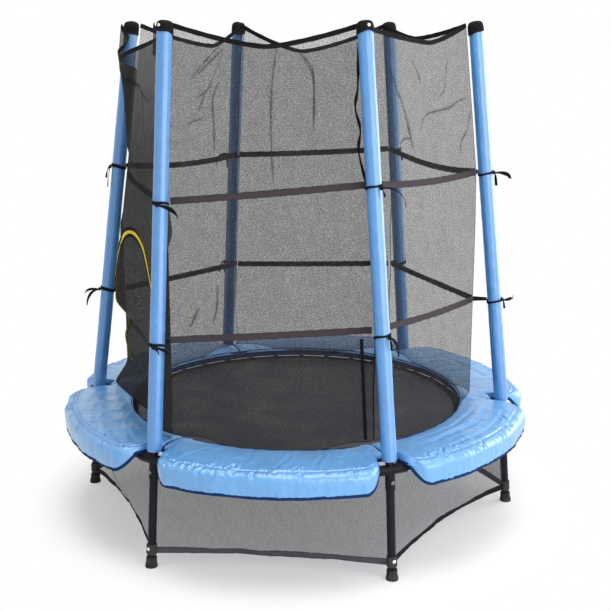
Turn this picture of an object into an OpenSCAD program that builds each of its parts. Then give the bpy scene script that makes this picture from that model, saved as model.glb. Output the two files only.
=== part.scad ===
// Round children's trampoline: a tube ring on six legs, a spring-hung mat under a padded cover,
// a safety net tied inside six foam-covered poles, and a mesh skirt between the legs.
// Millimetres. Z is up, the floor is at Z = 0 and the origin lies under the middle of the mat.
// Corner 0 is at +X and the corners go round towards +Y. The front faces -Y.

/* [Frame] */
// Radius of the frame ring, to the middle of its tube
ring_r = 690; // [670:1:720]
// Height of the middle of the ring above the floor
ring_z = 330; // [300:1:400]
// Outside diameter of the steel tubes
tube_d = 25; // [22:0.5:27]
// Wall of the steel tubes
tube_wall = 1.2; // [1:0.1:1.8]
// How far outside the ring the feet stand
foot_splay = 26; // [10:1:50]
// Wall of the cross tube of a joint
cross_wall = 2.3; // [2:0.1:3]
// Wall of the leg socket of a joint
socket_wall = 1.8; // [1.5:0.1:2.5]
// Length of a rail inside each side of a joint
rail_insert = 50; // [35:1:65]
// Length of a leg inside its socket
leg_insert = 44; // [40:1:60]
// Height of the spigot that carries a pole
spigot_h = 60; // [40:1:90]
// Clearance between a tube and the tube it slides into
slip = 0.2; // [0.1:0.05:0.4]

/* [Feet and bolts] */
// Diameter of a rubber foot on the floor
foot_d = 37; // [34:1:44]
// Diameter of a rubber foot at its upper rim
foot_top_d = 32; // [31:0.5:36]
// Height of a rubber foot
foot_h = 30; // [24:1:40]
// Rubber under the end of a leg
foot_sole = 5; // [3:0.5:8]
// Diameter of the joint bolts
bolt_d = 6; // [4:0.5:8]
// Distance from the middle of the ring down to the joint bolts
bolt_drop = 34; // [30:1:38]

/* [Poles] */
// Radius at which the poles end
pole_top_r = 548; // [535:1:560]
// Height of the pole ends
pole_top_z = 1556; // [1500:1:1600]
// Height at which the lower and upper halves of a pole meet
pole_split_z = 965; // [900:1:1020]
// Length of the swaged end inside the lower half
swage_l = 50; // [30:1:80]
// Outside diameter of the foam sleeves
sleeve_d = 47; // [42:0.5:50]
// Distance from the middle of the ring to the lower end of a sleeve
sleeve_lift = 25; // [20:1:40]
// Height of a pole cap above the pole
cap_h = 24; // [16:1:32]
// Length of a cap's plug inside the pole
cap_plug = 22; // [12:1:40]
// Diameter of the cap screws
cap_screw_d = 4; // [3:0.5:5]

/* [Pole lean] */
// How far the right pole's end leans outwards and round the ring
lean_right = [15, 2]; // [-20:1:20]
// How far the back right pole's end leans outwards and round the ring
lean_back_right = [0, 0]; // [-20:1:20]
// How far the back left pole's end leans outwards and round the ring
lean_back_left = [-4, -9]; // [-20:1:20]
// How far the left pole's end leans outwards and round the ring
lean_left = [-18, -2]; // [-20:1:20]
// How far the front left pole's end leans outwards and round the ring
lean_front_left = [19, -26]; // [-28:1:28]
// How far the front right pole's end leans outwards and round the ring
lean_front_right = [-9, -21]; // [-28:1:28]

/* [Mat and springs] */
// Radius of the jumping mat
mat_r = 555; // [550:1:560]
// Thickness of the jumping mat
mat_t = 2; // [1.5:0.1:3]
// How far the mat lies below the middle of the ring
mat_drop = 6; // [0:1:10]
// Width of the webbing hem on the mat
hem_w = 24; // [18:1:40]
// Thickness of the webbing
web_t = 1.6; // [1:0.1:2]
// Number of springs on each of the six sides
springs_a_side = 6; // [4:1:7]
// Outside diameter of a spring
spring_d = 14; // [10:0.5:16]
// Diameter of the spring and ring wire
wire_d = 2.6; // [2:0.1:3.2]
// Inside radius of the half round of a mat ring
ring_bow_r = 9; // [7:0.5:11]
// Width of the webbing tab that holds a mat ring
tab_w = 14; // [10:1:16]
// Length of a spring's hook at each end
hook_l = 14; // [8:1:18]

/* [Spring cover] */
// How far the padded cover reaches inwards from the middle of the ring
pad_in = 140; // [130:1:145]
// How far the padded cover reaches outwards from the middle of the ring
pad_out = 77; // [60:1:90]
// Thickness of the cover's foam at its crown
pad_t = 25; // [18:1:32]
// How far the cover's edge hangs down
pad_flap = 52; // [30:1:70]
// How far inside the middle of the ring the cover is cut back behind a pole
notch_back = 35; // [32:1:50]
// Width of the cut for a pole
notch_w = 70; // [62:1:90]
// Radius of the rounded ends beside a pole
pad_end_r = 62; // [40:1:80]

/* [Safety net] */
// Radius of the net's corners up to the door's top
net_r = 582; // [578:1:584]
// Height up to which the net's corners are upright
net_straight_z = 940; // [936:1:960]
// Thickness of the net
net_t = 1.2; // [0.8:0.1:1.6]
// Distance from a sleeve to the net beside it
net_gap = 6; // [5:0.5:8]
// How far the net's lower edge bellies out between the corners
net_belly = 38; // [20:1:39]
// Depth of the net's folds
fold_depth = 13; // [0:1:18]
// Folds across one side of the net
folds_a_side = 3; // [2:1:4]
// Width of the webbing bands round the net
band_w = 20; // [15:1:30]
// Width of the binding on the net's upper edge
binding_w = 14; // [10:1:18]
// Thickness of the binding on the net's upper edge
binding_t = 3; // [2:0.1:4]
// Clearance between sewn layers
layer_gap = 0.5; // [0.4:0.1:0.8]

/* [Net heights] */
// Height of the upper band at the right pole
upper_right = 1115; // [1060:1:1180]
// Height of the upper band at the back right pole
upper_back_right = 1135; // [1060:1:1180]
// Height of the upper band at the back left pole
upper_back_left = 1106; // [1060:1:1180]
// Height of the upper band at the left pole
upper_left = 1120; // [1060:1:1180]
// Height of the upper band at the front left pole
upper_front_left = 1078; // [1060:1:1180]
// Height of the upper band at the front right pole
upper_front_right = 1134; // [1060:1:1180]
// Height of the lower band at the right pole
lower_right = 700; // [640:1:760]
// Height of the lower band at the back right pole
lower_back_right = 709; // [640:1:760]
// Height of the lower band at the back left pole
lower_back_left = 693; // [640:1:760]
// Height of the lower band at the left pole
lower_left = 705; // [640:1:760]
// Height of the lower band at the front left pole
lower_front_left = 672; // [640:1:760]
// Height of the lower band at the front right pole
lower_front_right = 718; // [640:1:760]
// Depth to which the net's upper edge sags on its right rear side, and where along the side
sag_right_back = [42, 0.6]; // [0:1:120]
// Depth to which the net's upper edge sags on its back side, and where along the side
sag_back = [88, 0.57]; // [0:1:120]
// Depth to which the net's upper edge sags on its left rear side, and where along the side
sag_left_back = [68, 0.3]; // [0:1:120]
// Depth to which the net's upper edge sags on its door side, and where along the side
sag_left_front = [98, 0.28]; // [0:1:120]
// Depth to which the net's upper edge sags on its front side, and where along the side
sag_front = [58, 0.5]; // [0:1:120]
// Depth to which the net's upper edge sags on its right front side, and where along the side
sag_right_front = [50, 0.62]; // [0:1:120]

/* [Door] */
// Height of the door's lower edge
door_z = 470; // [450:1:500]
// Distance from the middle of the door's side to the zip's left leg, which is upright
zip_left = 228; // [200:1:230]
// Distance from the middle of the door's side to the foot of the zip's right leg, which leans
zip_right = 205; // [160:1:220]
// Height of the middle of the zip's arch above the door's lower edge
arch_rise = 338; // [300:1:350]
// Radius of the zip's arch
arch_r = 118; // [90:1:130]
// Width of each of the zip's tapes
tape_w = 15; // [10:1:18]
// Thickness of the zip's tapes
tape_t = 1.2; // [0.8:0.1:1.6]
// Overlap of a tape on the net
tape_lap = 8; // [5:0.5:9]
// Length of the zip's slider
slider_l = 14; // [10:1:20]
// Width of the zip's slider
slider_w = 9; // [7:0.5:12]
// Length of the zip's pull
pull_l = 26; // [18:1:36]

/* [Ties] */
// Width of the tie straps
tie_w = 20; // [19:1:24]
// Diameter of the knots
knot_d = 15; // [12:0.5:17]
// Length of the loose tie ends
tail_l = 46; // [20:1:60]
// Width of the loose tie ends
tail_w = 11; // [8:1:14]
// Angle at which a loose tie end stands away from its pole
tail_angle = 24; // [15:1:40]
// Angle at which a loose tie end turns sideways
tail_spread = 32; // [15:1:45]
// Thickness of the strap where it runs doubled to the net
tongue_t = 3; // [2:0.1:4]
// How far a knot stands out of its strap
knot_out = 12; // [8:0.5:18]

/* [Skirt] */
// Height of the skirt's lower edge at the legs
skirt_z = 42; // [36:1:70]
// How much higher the skirt's lower edge hangs between the legs
skirt_rise = 16; // [0:1:40]
// How far the skirt's lower edge bows inwards between the legs
skirt_bow = 26; // [0:1:50]
// Width of the webbing on the skirt's lower edge
skirt_hem_w = 20; // [14:1:26]
// Height of the fabric loops round the legs
loop_h = 34; // [24:1:44]
// Thickness of the fabric loops round the legs
loop_t = 2.4; // [1.6:0.1:4]
// Diameter of the rivets in the loops
rivet_d = 9; // [6:0.5:12]

/* [Hidden] */
$fn = 48;
CORNERS = ["right", "back_right", "back_left", "left", "front_left", "front_right"];
SIDES = ["right_back", "back", "left_back", "left_front", "front", "right_front"];
DOOR = 3;
step = 60;
all_sides = [0:5];
cut = 1;
seat_gap = 0.3;
rail_gap = 3;
tube_fit = 0.6;

leans = [lean_right, lean_back_right, lean_back_left, lean_left, lean_front_left, lean_front_right];
upper_z = [upper_right, upper_back_right, upper_back_left, upper_left, upper_front_left,
           upper_front_right];
lower_z = [lower_right, lower_back_right, lower_back_left, lower_left, lower_front_left,
           lower_front_right];
sags = [sag_right_back, sag_back, sag_left_back, sag_left_front, sag_front, sag_right_front];

tube_bore = tube_d - 2 * tube_wall;
socket_bore = tube_d + 2 * slip;
cross_d = socket_bore + 2 * cross_wall;
socket_d = socket_bore + 2 * socket_wall;
spigot_d = tube_bore - 2 * slip;
seat = cross_d / 2 + slip + seat_gap;
joint_half = asin((rail_insert + rail_gap) / ring_r);
rail_start = asin(rail_gap / ring_r);
foot_r = ring_r + foot_splay;
bolt_bore = bolt_d + 2 * slip;
bolt_head_h = bolt_d * 0.55;
nut_h = bolt_d * 0.8;
sleeve_bore = tube_d + tube_fit;
cap_d = sleeve_d - 2;
cap_screw_z = pole_top_z + cap_h / 2;

mat_z = ring_z - mat_drop;
spring_step = step / springs_a_side;
tab_h = wire_d + 2 * seat_gap + 2 * web_t;
bow_seat_r = mat_r + tab_h / 2;
bow_out_r = bow_seat_r + ring_bow_r + wire_d;
hook_rise = max(0, mat_drop - wire_d / 2);
rail_face_r = ring_r - sqrt(pow(tube_d / 2, 2) - pow(hook_rise, 2));

pad_in_r = ring_r - pad_in;
pad_out_r = ring_r + pad_out;
notch_r = ring_r - notch_back;
pad_base_z = ring_z + cross_d / 2 + seat_gap;
pad_top_z = pad_base_z + pad_t;
flap_r = ring_r + cross_d / 2 + 17;
net_base_z = pad_top_z + 2;
net_apothem = net_r * cos(step / 2);
net_top_z = pole_top_z + 4;
edge_gap = 0.003;
band_end = 0.014;
arch_steps = 32;
arch_x = arch_r - zip_left;
arch_z = door_z + arch_rise;
leg_lean = atan2(zip_right - arch_x, arch_rise) - asin(arch_r / norm([zip_right - arch_x, arch_rise]));
hinge_gap = 1.4;
zip_gap = 0.8;
tape_out = net_t / 2 + layer_gap;
slider_aside = zip_gap / 2 + slider_w / 2 + 0.4;
slider_rise = 24;
slider_out = tape_out + tape_t + seat_gap;
slider_t = 4;
pin_d = 1.6;
pull_t = 1.2;
pull_w = 6.4;
pin_out = slider_out + slider_t + 2.4;
ear_t = 1;
ear_d = 3.6;
eye_l = slider_w - 2 * ear_t - 2 * slip;

loop_bore = tube_d + tube_fit;
loop_d = loop_bore + 2 * loop_t;
skirt_top_z = ring_z - cross_d / 2 - layer_gap;
skirt_side_gap = loop_d / 2 + layer_gap;
hem_share = skirt_hem_w / (skirt_top_z - skirt_z);

steel = [0.07, 0.065, 0.075];
zinc = [0.75, 0.76, 0.78];
rubber = [0.03, 0.03, 0.032];
foam_blue = [0.45, 0.67, 0.93];
pad_blue = [0.40, 0.66, 0.93];
mesh_grey = [0.12, 0.12, 0.11];
web_black = [0.05, 0.05, 0.055];
mat_black = [0.04, 0.04, 0.045];
zip_yellow = [0.92, 0.80, 0.12];

// ---- Places ----

function wrap(k) = k % 6;
function at_angle(r, a, z) = [r * cos(a), r * sin(a), z];
function mix(a, b, t) = a + (b - a) * t;
function outward(k) = at_angle(1, k * step, 0);
function round_way(k) = at_angle(1, k * step + 90, 0);
function side_out(k) = at_angle(1, (k + 0.5) * step, 0);
function seen_from(k, p) = [p * outward(k), p * round_way(k), p.z];
function ring_point(k) = at_angle(ring_r, k * step, ring_z);
function foot_point(k) = at_angle(foot_r, k * step, 0);
function leg_at(k, z) = mix(foot_point(wrap(k)), ring_point(wrap(k)), z / ring_z);
function pole_end(k) = at_angle(pole_top_r, k * step, pole_top_z)
    + leans[wrap(k)][0] * outward(k) + leans[wrap(k)][1] * round_way(k);
function pole_at(k, z) =
    mix(ring_point(k), pole_end(k), (z - ring_z) / (pole_top_z - ring_z));

// Turns the children's Z axis from one point towards another
module aim(from, to) {
    d = to - from;
    translate(from) rotate([0, acos(d.z / norm(d)), atan2(d.y, d.x)]) children();
}

// Part of a ring of round bar on the frame's circle
module ring_arc(from, to, d) {
    translate([0, 0, ring_z]) rotate([0, 0, from])
        rotate_extrude(angle = to - from, $fn = 180) translate([ring_r, 0]) circle(d = d, $fn = 48);
}

// A closed body between two sheets of points, each given column by column.
// Seen from the front sheet, columns go to the right and the points in a column go up.
module skin(front, back) {
    cols = len(front) - 1;
    rows = len(front[0]) - 1;
    size = (cols + 1) * (rows + 1);
    function f(i, j) = i * (rows + 1) + j;
    function b(i, j) = size + f(i, j);
    function quad(p, q, r, s) = [[p, q, r], [p, r, s]];
    polyhedron(
        points = [for (sheet = [front, back]) for (column = sheet) each column],
        faces = [
            for (i = [0:cols - 1]) for (j = [0:rows - 1]) each concat(
                quad(f(i, j), f(i, j + 1), f(i + 1, j + 1), f(i + 1, j)),
                quad(b(i, j), b(i + 1, j), b(i + 1, j + 1), b(i, j + 1))),
            for (i = [0:cols - 1]) each concat(
                quad(f(i, 0), f(i + 1, 0), b(i + 1, 0), b(i, 0)),
                quad(f(i + 1, rows), f(i, rows), b(i, rows), b(i + 1, rows))),
            for (j = [0:rows - 1]) each concat(
                quad(f(0, j + 1), f(0, j), b(0, j), b(0, j + 1)),
                quad(f(cols, j), f(cols, j + 1), b(cols, j + 1), b(cols, j)))
        ]);
}

// ---- Frame ----

module joint_bolt_bore(k) {
    translate(leg_at(k, ring_z - bolt_drop)) rotate([0, 0, k * step]) rotate([0, 90, 0])
        cylinder(d = bolt_bore, h = 2 * socket_d, center = true);
}

module t_joint(k) {
    a = k * step;
    color(steel) difference() {
        union() {
            ring_arc(a - joint_half, a + joint_half, cross_d);
            aim(ring_point(k), foot_point(k)) cylinder(d = socket_d, h = seat + leg_insert);
            aim(ring_point(k), pole_end(k)) cylinder(d = spigot_d, h = seat + spigot_h);
        }
        ring_arc(a - joint_half - 1, a + joint_half + 1, socket_bore);
        aim(ring_point(k), foot_point(k)) translate([0, 0, seat])
            cylinder(d = socket_bore, h = leg_insert + cut);
        aim(ring_point(k), pole_end(k)) translate([0, 0, seat])
            cylinder(d = spigot_d - 2 * tube_wall, h = spigot_h + cut);
        joint_bolt_bore(k);
    }
}

module leg(k) {
    top = seat + 0.5;
    length = norm(ring_point(k) - leg_at(k, foot_sole + 1));
    color(steel) difference() {
        aim(ring_point(k), foot_point(k)) translate([0, 0, top]) difference() {
            cylinder(d = tube_d, h = length - top);
            translate([0, 0, -cut]) cylinder(d = tube_bore, h = length - top + 2 * cut);
        }
        joint_bolt_bore(k);
    }
}

module frame_rail(k) {
    from = k * step + rail_start;
    to = (k + 1) * step - rail_start;
    color(steel) difference() {
        ring_arc(from, to, tube_d);
        ring_arc(from - 1, to + 1, tube_bore);
    }
}

// The foot stands square to its leg and is cut flat at the floor
module rubber_foot(k) {
    bore_r = tube_d / 2 + 0.1;
    color(rubber) rotate([0, 0, k * step]) difference() {
        aim([foot_r, 0, 0], [ring_r, 0, ring_z]) translate([0, 0, -foot_sole]) rotate_extrude()
            polygon([[0, 0], [foot_d / 2, 0], [foot_d / 2, foot_sole + foot_h * 0.2],
                     [foot_top_d / 2, foot_sole + foot_h * 0.55], [foot_top_d / 2, foot_sole + foot_h],
                     [bore_r, foot_sole + foot_h], [bore_r, 2 * foot_sole], [0, 2 * foot_sole]]);
        translate([foot_r - foot_d, -foot_d, -foot_d]) cube([2 * foot_d, 2 * foot_d, foot_d]);
    }
}

module joint_bolt(k) {
    head = socket_d / 2 + seat_gap + bolt_d * foot_splay / ring_z;
    color(zinc) translate(leg_at(k, ring_z - bolt_drop)) rotate([0, 0, k * step]) rotate([0, 90, 0]) {
        translate([0, 0, -head - nut_h]) cylinder(d = bolt_d, h = 2 * head + nut_h + cut);
        translate([0, 0, head]) cylinder(d = bolt_d * 2, h = bolt_head_h);
        translate([0, 0, -head - nut_h]) cylinder(d = bolt_d * 1.9, h = nut_h, $fn = 6);
    }
}

// ---- Poles ----

module lower_pole_tube(k) {
    length = norm(pole_at(k, pole_split_z) - ring_point(k));
    color(steel) aim(ring_point(k), pole_end(k)) translate([0, 0, seat]) difference() {
        cylinder(d = tube_d, h = length - seat);
        translate([0, 0, -cut]) cylinder(d = tube_bore, h = length - seat + 2 * cut);
    }
}

module upper_pole_tube(k) {
    length = norm(pole_end(k) - pole_at(k, pole_split_z));
    color(steel) aim(pole_at(k, pole_split_z), pole_end(k)) difference() {
        union() {
            translate([0, 0, 0.4]) cylinder(d = tube_d, h = length - 0.4);
            translate([0, 0, -swage_l]) cylinder(d = spigot_d, h = swage_l + 2);
        }
        translate([0, 0, -swage_l - cut]) cylinder(d = spigot_d - 2 * tube_wall, h = swage_l + 4);
        translate([0, 0, 2]) cylinder(d = tube_bore, h = length);
    }
}

module foam_sleeve(k) {
    length = norm(pole_end(k) - ring_point(k));
    color(foam_blue) aim(ring_point(k), pole_end(k)) translate([0, 0, sleeve_lift]) difference() {
        cylinder(d = sleeve_d, h = length - sleeve_lift - 0.5);
        translate([0, 0, -cut]) cylinder(d = sleeve_bore, h = length);
    }
}

module pole_cap(k) {
    color(web_black) difference() {
        aim(pole_end(k), 2 * pole_end(k) - pole_at(k, pole_split_z)) {
            translate([0, 0, -cap_plug]) cylinder(d = tube_bore - 2 * slip, h = cap_plug + 2);
            translate([0, 0, 0.3]) rotate_extrude()
                polygon([[0, 0], [cap_d / 2, 0], [cap_d / 2, cap_h * 0.62],
                         [cap_d * 0.42, cap_h * 0.88], [cap_d * 0.25, cap_h], [0, cap_h]]);
        }
        translate(pole_at(k, cap_screw_z)) rotate([0, 0, k * step]) rotate([0, 90, 0])
            cylinder(d = cap_screw_d + 0.3, h = cap_d);
    }
}

module cap_screw(k) {
    color(zinc) translate(pole_at(k, cap_screw_z)) rotate([0, 0, k * step]) rotate([0, 90, 0]) {
        translate([0, 0, 4]) cylinder(d = cap_screw_d, h = cap_d / 2 - 2);
        translate([0, 0, cap_d / 2 + 1]) cylinder(d = cap_screw_d * 2.2, h = 2.2);
    }
}

// ---- Mat and springs ----

module each_spring() {
    for (k = all_sides) for (i = [0:springs_a_side - 1])
        rotate([0, 0, k * step + (i + 0.5) * spring_step]) translate([0, 0, mat_z]) children();
}

module jumping_mat() {
    color(mat_black) translate([0, 0, mat_z - mat_t / 2])
        cylinder(r = mat_r - seat_gap, h = mat_t, $fn = 180);
}

// The hem is a ring of webbing on the mat, with a tab round the straight side of each mat ring
module mat_hem() {
    color(web_black) difference() {
        union() {
            translate([0, 0, mat_z + mat_t / 2]) difference() {
                cylinder(r = mat_r, h = web_t, $fn = 180);
                translate([0, 0, -cut]) cylinder(r = mat_r - hem_w, h = web_t + 2 * cut, $fn = 180);
            }
            each_spring() translate([mat_r - seat_gap / 2, -tab_w / 2, -tab_h / 2])
                cube([tab_h + seat_gap / 2, tab_w, tab_h]);
        }
        each_spring() translate([bow_seat_r, -tab_w, 0]) rotate([-90, 0, 0])
            cylinder(d = wire_d + 2 * seat_gap, h = 2 * tab_w, $fn = 24);
    }
}

module mat_rings() {
    color(zinc) each_spring() translate([bow_seat_r, 0, 0]) {
        rotate([90, 0, 0]) cylinder(d = wire_d, h = 2 * ring_bow_r + wire_d, center = true, $fn = 24);
        rotate([0, 0, -90]) rotate_extrude(angle = 180, $fn = 48)
            translate([ring_bow_r + wire_d / 2, 0]) circle(d = wire_d, $fn = 24);
    }
}

module springs() {
    inner = bow_out_r + 0.4;
    outer = rail_face_r - seat_gap;
    color(zinc) each_spring() rotate([0, 90, 0]) {
        translate([0, 0, inner]) cylinder(d = wire_d, h = outer - inner, $fn = 24);
        translate([0, 0, inner + hook_l]) cylinder(d = spring_d, h = outer - inner - 2 * hook_l, $fn = 32);
    }
}

// ---- Spring cover ----

// Outer edge of the cover at a distance along the ring from the nearest pole
function pad_reach(along) =
    let (t = (along - notch_w / 2) / pad_end_r)
    t <= 0 ? 0 : t >= 1 ? 1 : sqrt(1 - (1 - t) * (1 - t));

// Points across the cover, from the lower edge of its flap to its inner edge: how far across it
// from the inner to the outer edge, and its height, as a share of the foam above the base or of
// the flap below it
PAD_TOP = [[0.985, -1], [1, -0.45], [0.985, 0.3], [0.93, 0.72], [0.8, 0.94], [0.55, 1], [0.27, 0.9],
           [0.06, 0.6], [0, 0.28]];
PAD_UNDER = [[0.965, -1], [0.972, -0.45], [0.945, 0.04], [0.9, 0.02], [0.79, 0], [0.55, 0], [0.27, 0],
             [0.07, 0], [0.01, 0.06]];
PAD_ALONG = concat([2 * seat_gap, 0.4 * notch_w],
                   [for (share = [0.01, 0.1, 0.27, 0.56, 1, 2.5]) notch_w / 2 + share * pad_end_r]);

// The flap hangs only where the cover reaches past the ring
function pad_height(up, edge_r) =
    pad_base_z + (up > 0 ? up * pad_t : up * pad_flap * max(0, (edge_r - flap_r) / (pad_out_r - flap_r)));
function pad_point(k, along, p) =
    let (length = ring_r * step * PI / 180,
         edge_r = mix(notch_r, pad_out_r, pad_reach(min(along, length - along))))
    at_angle(mix(pad_in_r, edge_r, p[0]), k * step + along / length * step, pad_height(p[1], edge_r));

module spring_pad(k) {
    length = ring_r * step * PI / 180;
    stations = concat(PAD_ALONG, [length / 2], [for (i = [len(PAD_ALONG) - 1:-1:0]) length - PAD_ALONG[i]]);
    color(pad_blue) skin([for (a = stations) [for (p = PAD_TOP) pad_point(k, a, p)]],
                         [for (a = stations) [for (p = PAD_UNDER) pad_point(k, a, p)]]);
}

// ---- Safety net ----

function pole_face(k, z) = pole_at(k, z) - (sleeve_d / 2 + net_gap) * outward(k);
function net_corner(k, z) =
    let (tied = upper_z[wrap(k)], low = at_angle(net_r, k * step, z))
    z <= net_straight_z ? low
    : z >= tied ? pole_face(k, z)
    : mix(low, [pole_face(k, tied).x, pole_face(k, tied).y, z],
          (z - net_straight_z) / (tied - net_straight_z));
function belly(k, s, z) = k == DOOR || z > net_straight_z ? 0
    : net_belly * 4 * s * (1 - s) * pow((net_straight_z - z) / (net_straight_z - net_base_z), 2);
function fold(k, s, slack) = fold_depth * slack * sin(180 * s)
    * sin(360 * (folds_a_side * s + 0.37 * k) + 70 * slack);
function net_point(k, s, z, slack = 0) =
    mix(net_corner(k, z), net_corner(k + 1, z), s)
    + (belly(k, s, z) + fold(k, s, slack)) * side_out(k);

function lower_at(k, s) = mix(lower_z[k], lower_z[wrap(k + 1)], s);
function upper_at(k, s) = mix(upper_z[k], upper_z[wrap(k + 1)], s);
function top_at(k, s) =
    let (low = sags[k][1], away = s < low ? (low - s) / low : (s - low) / (1 - low))
    net_top_z - sags[k][0] * (1 - pow(away, 1.4));

// Heights of the net's rows on one side, each with how slack the net is there
function net_rows(k, s) =
    let (base = net_base_z + 6 * pow(2 * s - 1, 2),
         low = lower_at(k, s), high = upper_at(k, s), top = top_at(k, s),
         free = k == DOOR ? 0 : 1)
    [[base, 0], [mix(base, low, 0.5), 0.5 * free],
     [low - band_w / 2, 0], [low + band_w / 2, 0], [mix(low, net_straight_z, 0.55), free],
     [net_straight_z, 0.9 * free], [high - band_w / 2, 0], [high + band_w / 2, 0],
     [mix(high, top, 0.36), 0.85], [mix(high, top, 0.7), 0.8], [top, 0]];
NET_COLS = [edge_gap, 0.1, 0.2, 0.3, 0.4, 0.5, 0.6, 0.7, 0.8, 0.9, 1 - edge_gap];

// A strip along one side of the net, as thick as `t` and `out` away from the net's middle
module net_strip(k, cols, out, t) {
    skin([for (col = cols) [for (p = col) p + (out + t) * side_out(k)]],
         [for (col = cols) [for (p = col) p + out * side_out(k)]]);
}

module net_side(k) {
    net_strip(k, [for (s = NET_COLS) [for (row = net_rows(k, s)) net_point(k, s, row[0], row[1])]],
              -net_t / 2, net_t);
}

module net_panel(k) {
    color(mesh_grey) if (k == DOOR) difference() {
        net_side(k);
        door_place() linear_extrude(4 * net_t, center = true) arch(tape_lap, door_z - hinge_gap);
    } else net_side(k);
}

// Points of a band from one corner to the next, from its height at each
function band_cols(k, from, to) =
    [for (s = NET_COLS) let (u = min(max(s, band_end), 1 - band_end))
        [for (up = [-1, 1]) net_point(k, u, mix(from, to, u) + up * band_w / 2)]];

module band(heights, sides) {
    color(web_black) for (k = sides)
        net_strip(k, band_cols(k, heights[k], heights[wrap(k + 1)]), net_t / 2 + layer_gap, web_t);
}

module net_top_binding() {
    color(web_black) for (k = all_sides)
        net_strip(k, [for (s = NET_COLS) [for (up = [seat_gap, binding_w])
                      net_point(k, s, top_at(k, s) + up)]],
                  -binding_t / 2, binding_t);
}

// A strap round a pole, knotted outside, with a tongue to the net's corner and two loose ends
module tie(k, z, turn) {
    centre = seen_from(k, pole_at(k, z));
    end = seen_from(k, pole_end(k));
    to_net = seen_from(k, net_corner(k, z)) - centre;
    strap_bore = sleeve_d + 2 * seat_gap;
    strap_r = strap_bore / 2 + web_t;
    color(web_black) rotate([0, 0, k * step]) {
        difference() {
            union() {
                aim(centre, end) cylinder(r = strap_r, h = tie_w, center = true);
                translate(centre) rotate([0, 0, atan2(to_net.y, to_net.x)])
                    translate([0, -tongue_t / 2, -tie_w / 2])
                    cube([norm(to_net) - net_t / 2, tongue_t, tie_w]);
                translate(centre) rotate([0, 0, turn]) rotate([0, 90, 0])
                    cylinder(d = knot_d, h = strap_r + knot_out);
            }
            aim(centre, end) cylinder(d = strap_bore, h = 4 * tie_w, center = true);
        }
        for (side = [-1, 1]) translate(centre) rotate([0, 0, turn])
            translate([strap_r + knot_out / 2, side * knot_d / 4, -knot_d / 2 - seat_gap])
            rotate([side * tail_spread, -tail_angle, 0])
            translate([-web_t / 2, -tail_w / 2, -tail_l]) cube([web_t, tail_w, tail_l]);
    }
}

// ---- Door ----

// Puts what is drawn in X and Y on the door's side of the net, with X along it and Y up
module door_place() {
    rotate([0, 0, (DOOR + 0.5) * step]) translate([net_apothem, 0, 0]) rotate([90, 0, 90]) children();
}

// The doorway, `grow` wider than the zip's line, from the height `base` up
module arch(grow, base) {
    r = arch_r + grow;
    foot_x = zip_right + (grow - sin(leg_lean) * (base - door_z)) / cos(leg_lean);
    polygon([[arch_x - r, base], [foot_x, base],
             for (i = [0:arch_steps]) let (turn = mix(leg_lean, 180, i / arch_steps))
                 [arch_x + r * cos(turn), arch_z + r * sin(turn)]]);
}

module arch_tape(outer, inner) {
    door_place() translate([0, 0, tape_out]) linear_extrude(tape_t) difference() {
        arch(outer, door_z + hinge_gap);
        arch(inner, door_z - cut);
    }
}

module door_flap() {
    color(mesh_grey) door_place() translate([0, 0, -net_t / 2]) linear_extrude(net_t)
        arch(-tape_lap, door_z + hinge_gap);
}

module flap_zip_tape() {
    color(zip_yellow) arch_tape(-zip_gap / 2, -zip_gap / 2 - tape_w);
}

module frame_zip_tape() {
    color(zip_yellow) arch_tape(zip_gap / 2 + tape_w, zip_gap / 2);
}

// Puts the children at the slider's place, with Z outwards and Y up the zip's leaning leg
module slider_place() {
    door_place() translate([zip_right, door_z, 0]) rotate([0, 0, leg_lean])
        translate([slider_aside, slider_rise, 0]) children();
}

module zip_slider() {
    color(zip_yellow) slider_place() {
        translate([-slider_w / 2, -slider_l / 2, slider_out]) cube([slider_w, slider_l, slider_t]);
        for (side = [-1, 1]) translate([side * (slider_w - ear_t) / 2, 0, 0]) {
            translate([-ear_t / 2, -ear_d / 2, slider_out + slider_t - cut])
                cube([ear_t, ear_d, pin_out - slider_out - slider_t + cut]);
            translate([0, 0, pin_out]) rotate([0, 90, 0])
                cylinder(d = ear_d, h = ear_t, center = true, $fn = 24);
        }
        translate([0, 0, pin_out]) rotate([0, 90, 0])
            cylinder(d = pin_d, h = slider_w - ear_t, center = true, $fn = 24);
    }
}

module zip_pull() {
    color(zip_yellow) slider_place() translate([0, 0, pin_out]) difference() {
        union() {
            rotate([0, 90, 0]) cylinder(d = ear_d, h = eye_l, center = true, $fn = 24);
            translate([-eye_l / 2, -5, -pull_t / 2]) cube([eye_l, 5, pull_t]);
            translate([-pull_w / 2, -pull_l, -pull_t / 2]) cube([pull_w, pull_l - 4, pull_t]);
        }
        rotate([0, 90, 0]) cylinder(d = pin_d + 0.16, h = slider_w, center = true, $fn = 24);
    }
}

// ---- Skirt ----

function skirt_share(k) = skirt_side_gap / norm(leg_at(k + 1, 0) - leg_at(k, 0));
SKIRT_COLS = [0, 0.1, 0.25, 0.4, 0.5, 0.6, 0.75, 0.9, 1];
SKIRT_ROWS = [0, hem_share, 0.3, 0.55, 0.8, 1];
function skirt_point(k, u, t) =
    let (gap = skirt_share(k), s = mix(gap, 1 - gap, u),
         hump = 4 * s * (1 - s),
         z = mix(skirt_z + skirt_rise * hump, skirt_top_z, t),
         low = mix(leg_at(k, skirt_z), leg_at(k + 1, skirt_z), s) - skirt_bow * hump * side_out(k),
         high = at_angle(ring_r, (k + s) * step, 0),
         wave = 6 * sin(180 * t) * sin(180 * s) * sin(360 * (2 * s + 0.4 * k)))
    [for (axis = [0, 1]) mix(low[axis], high[axis], t) + wave * side_out(k)[axis], z];

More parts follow.
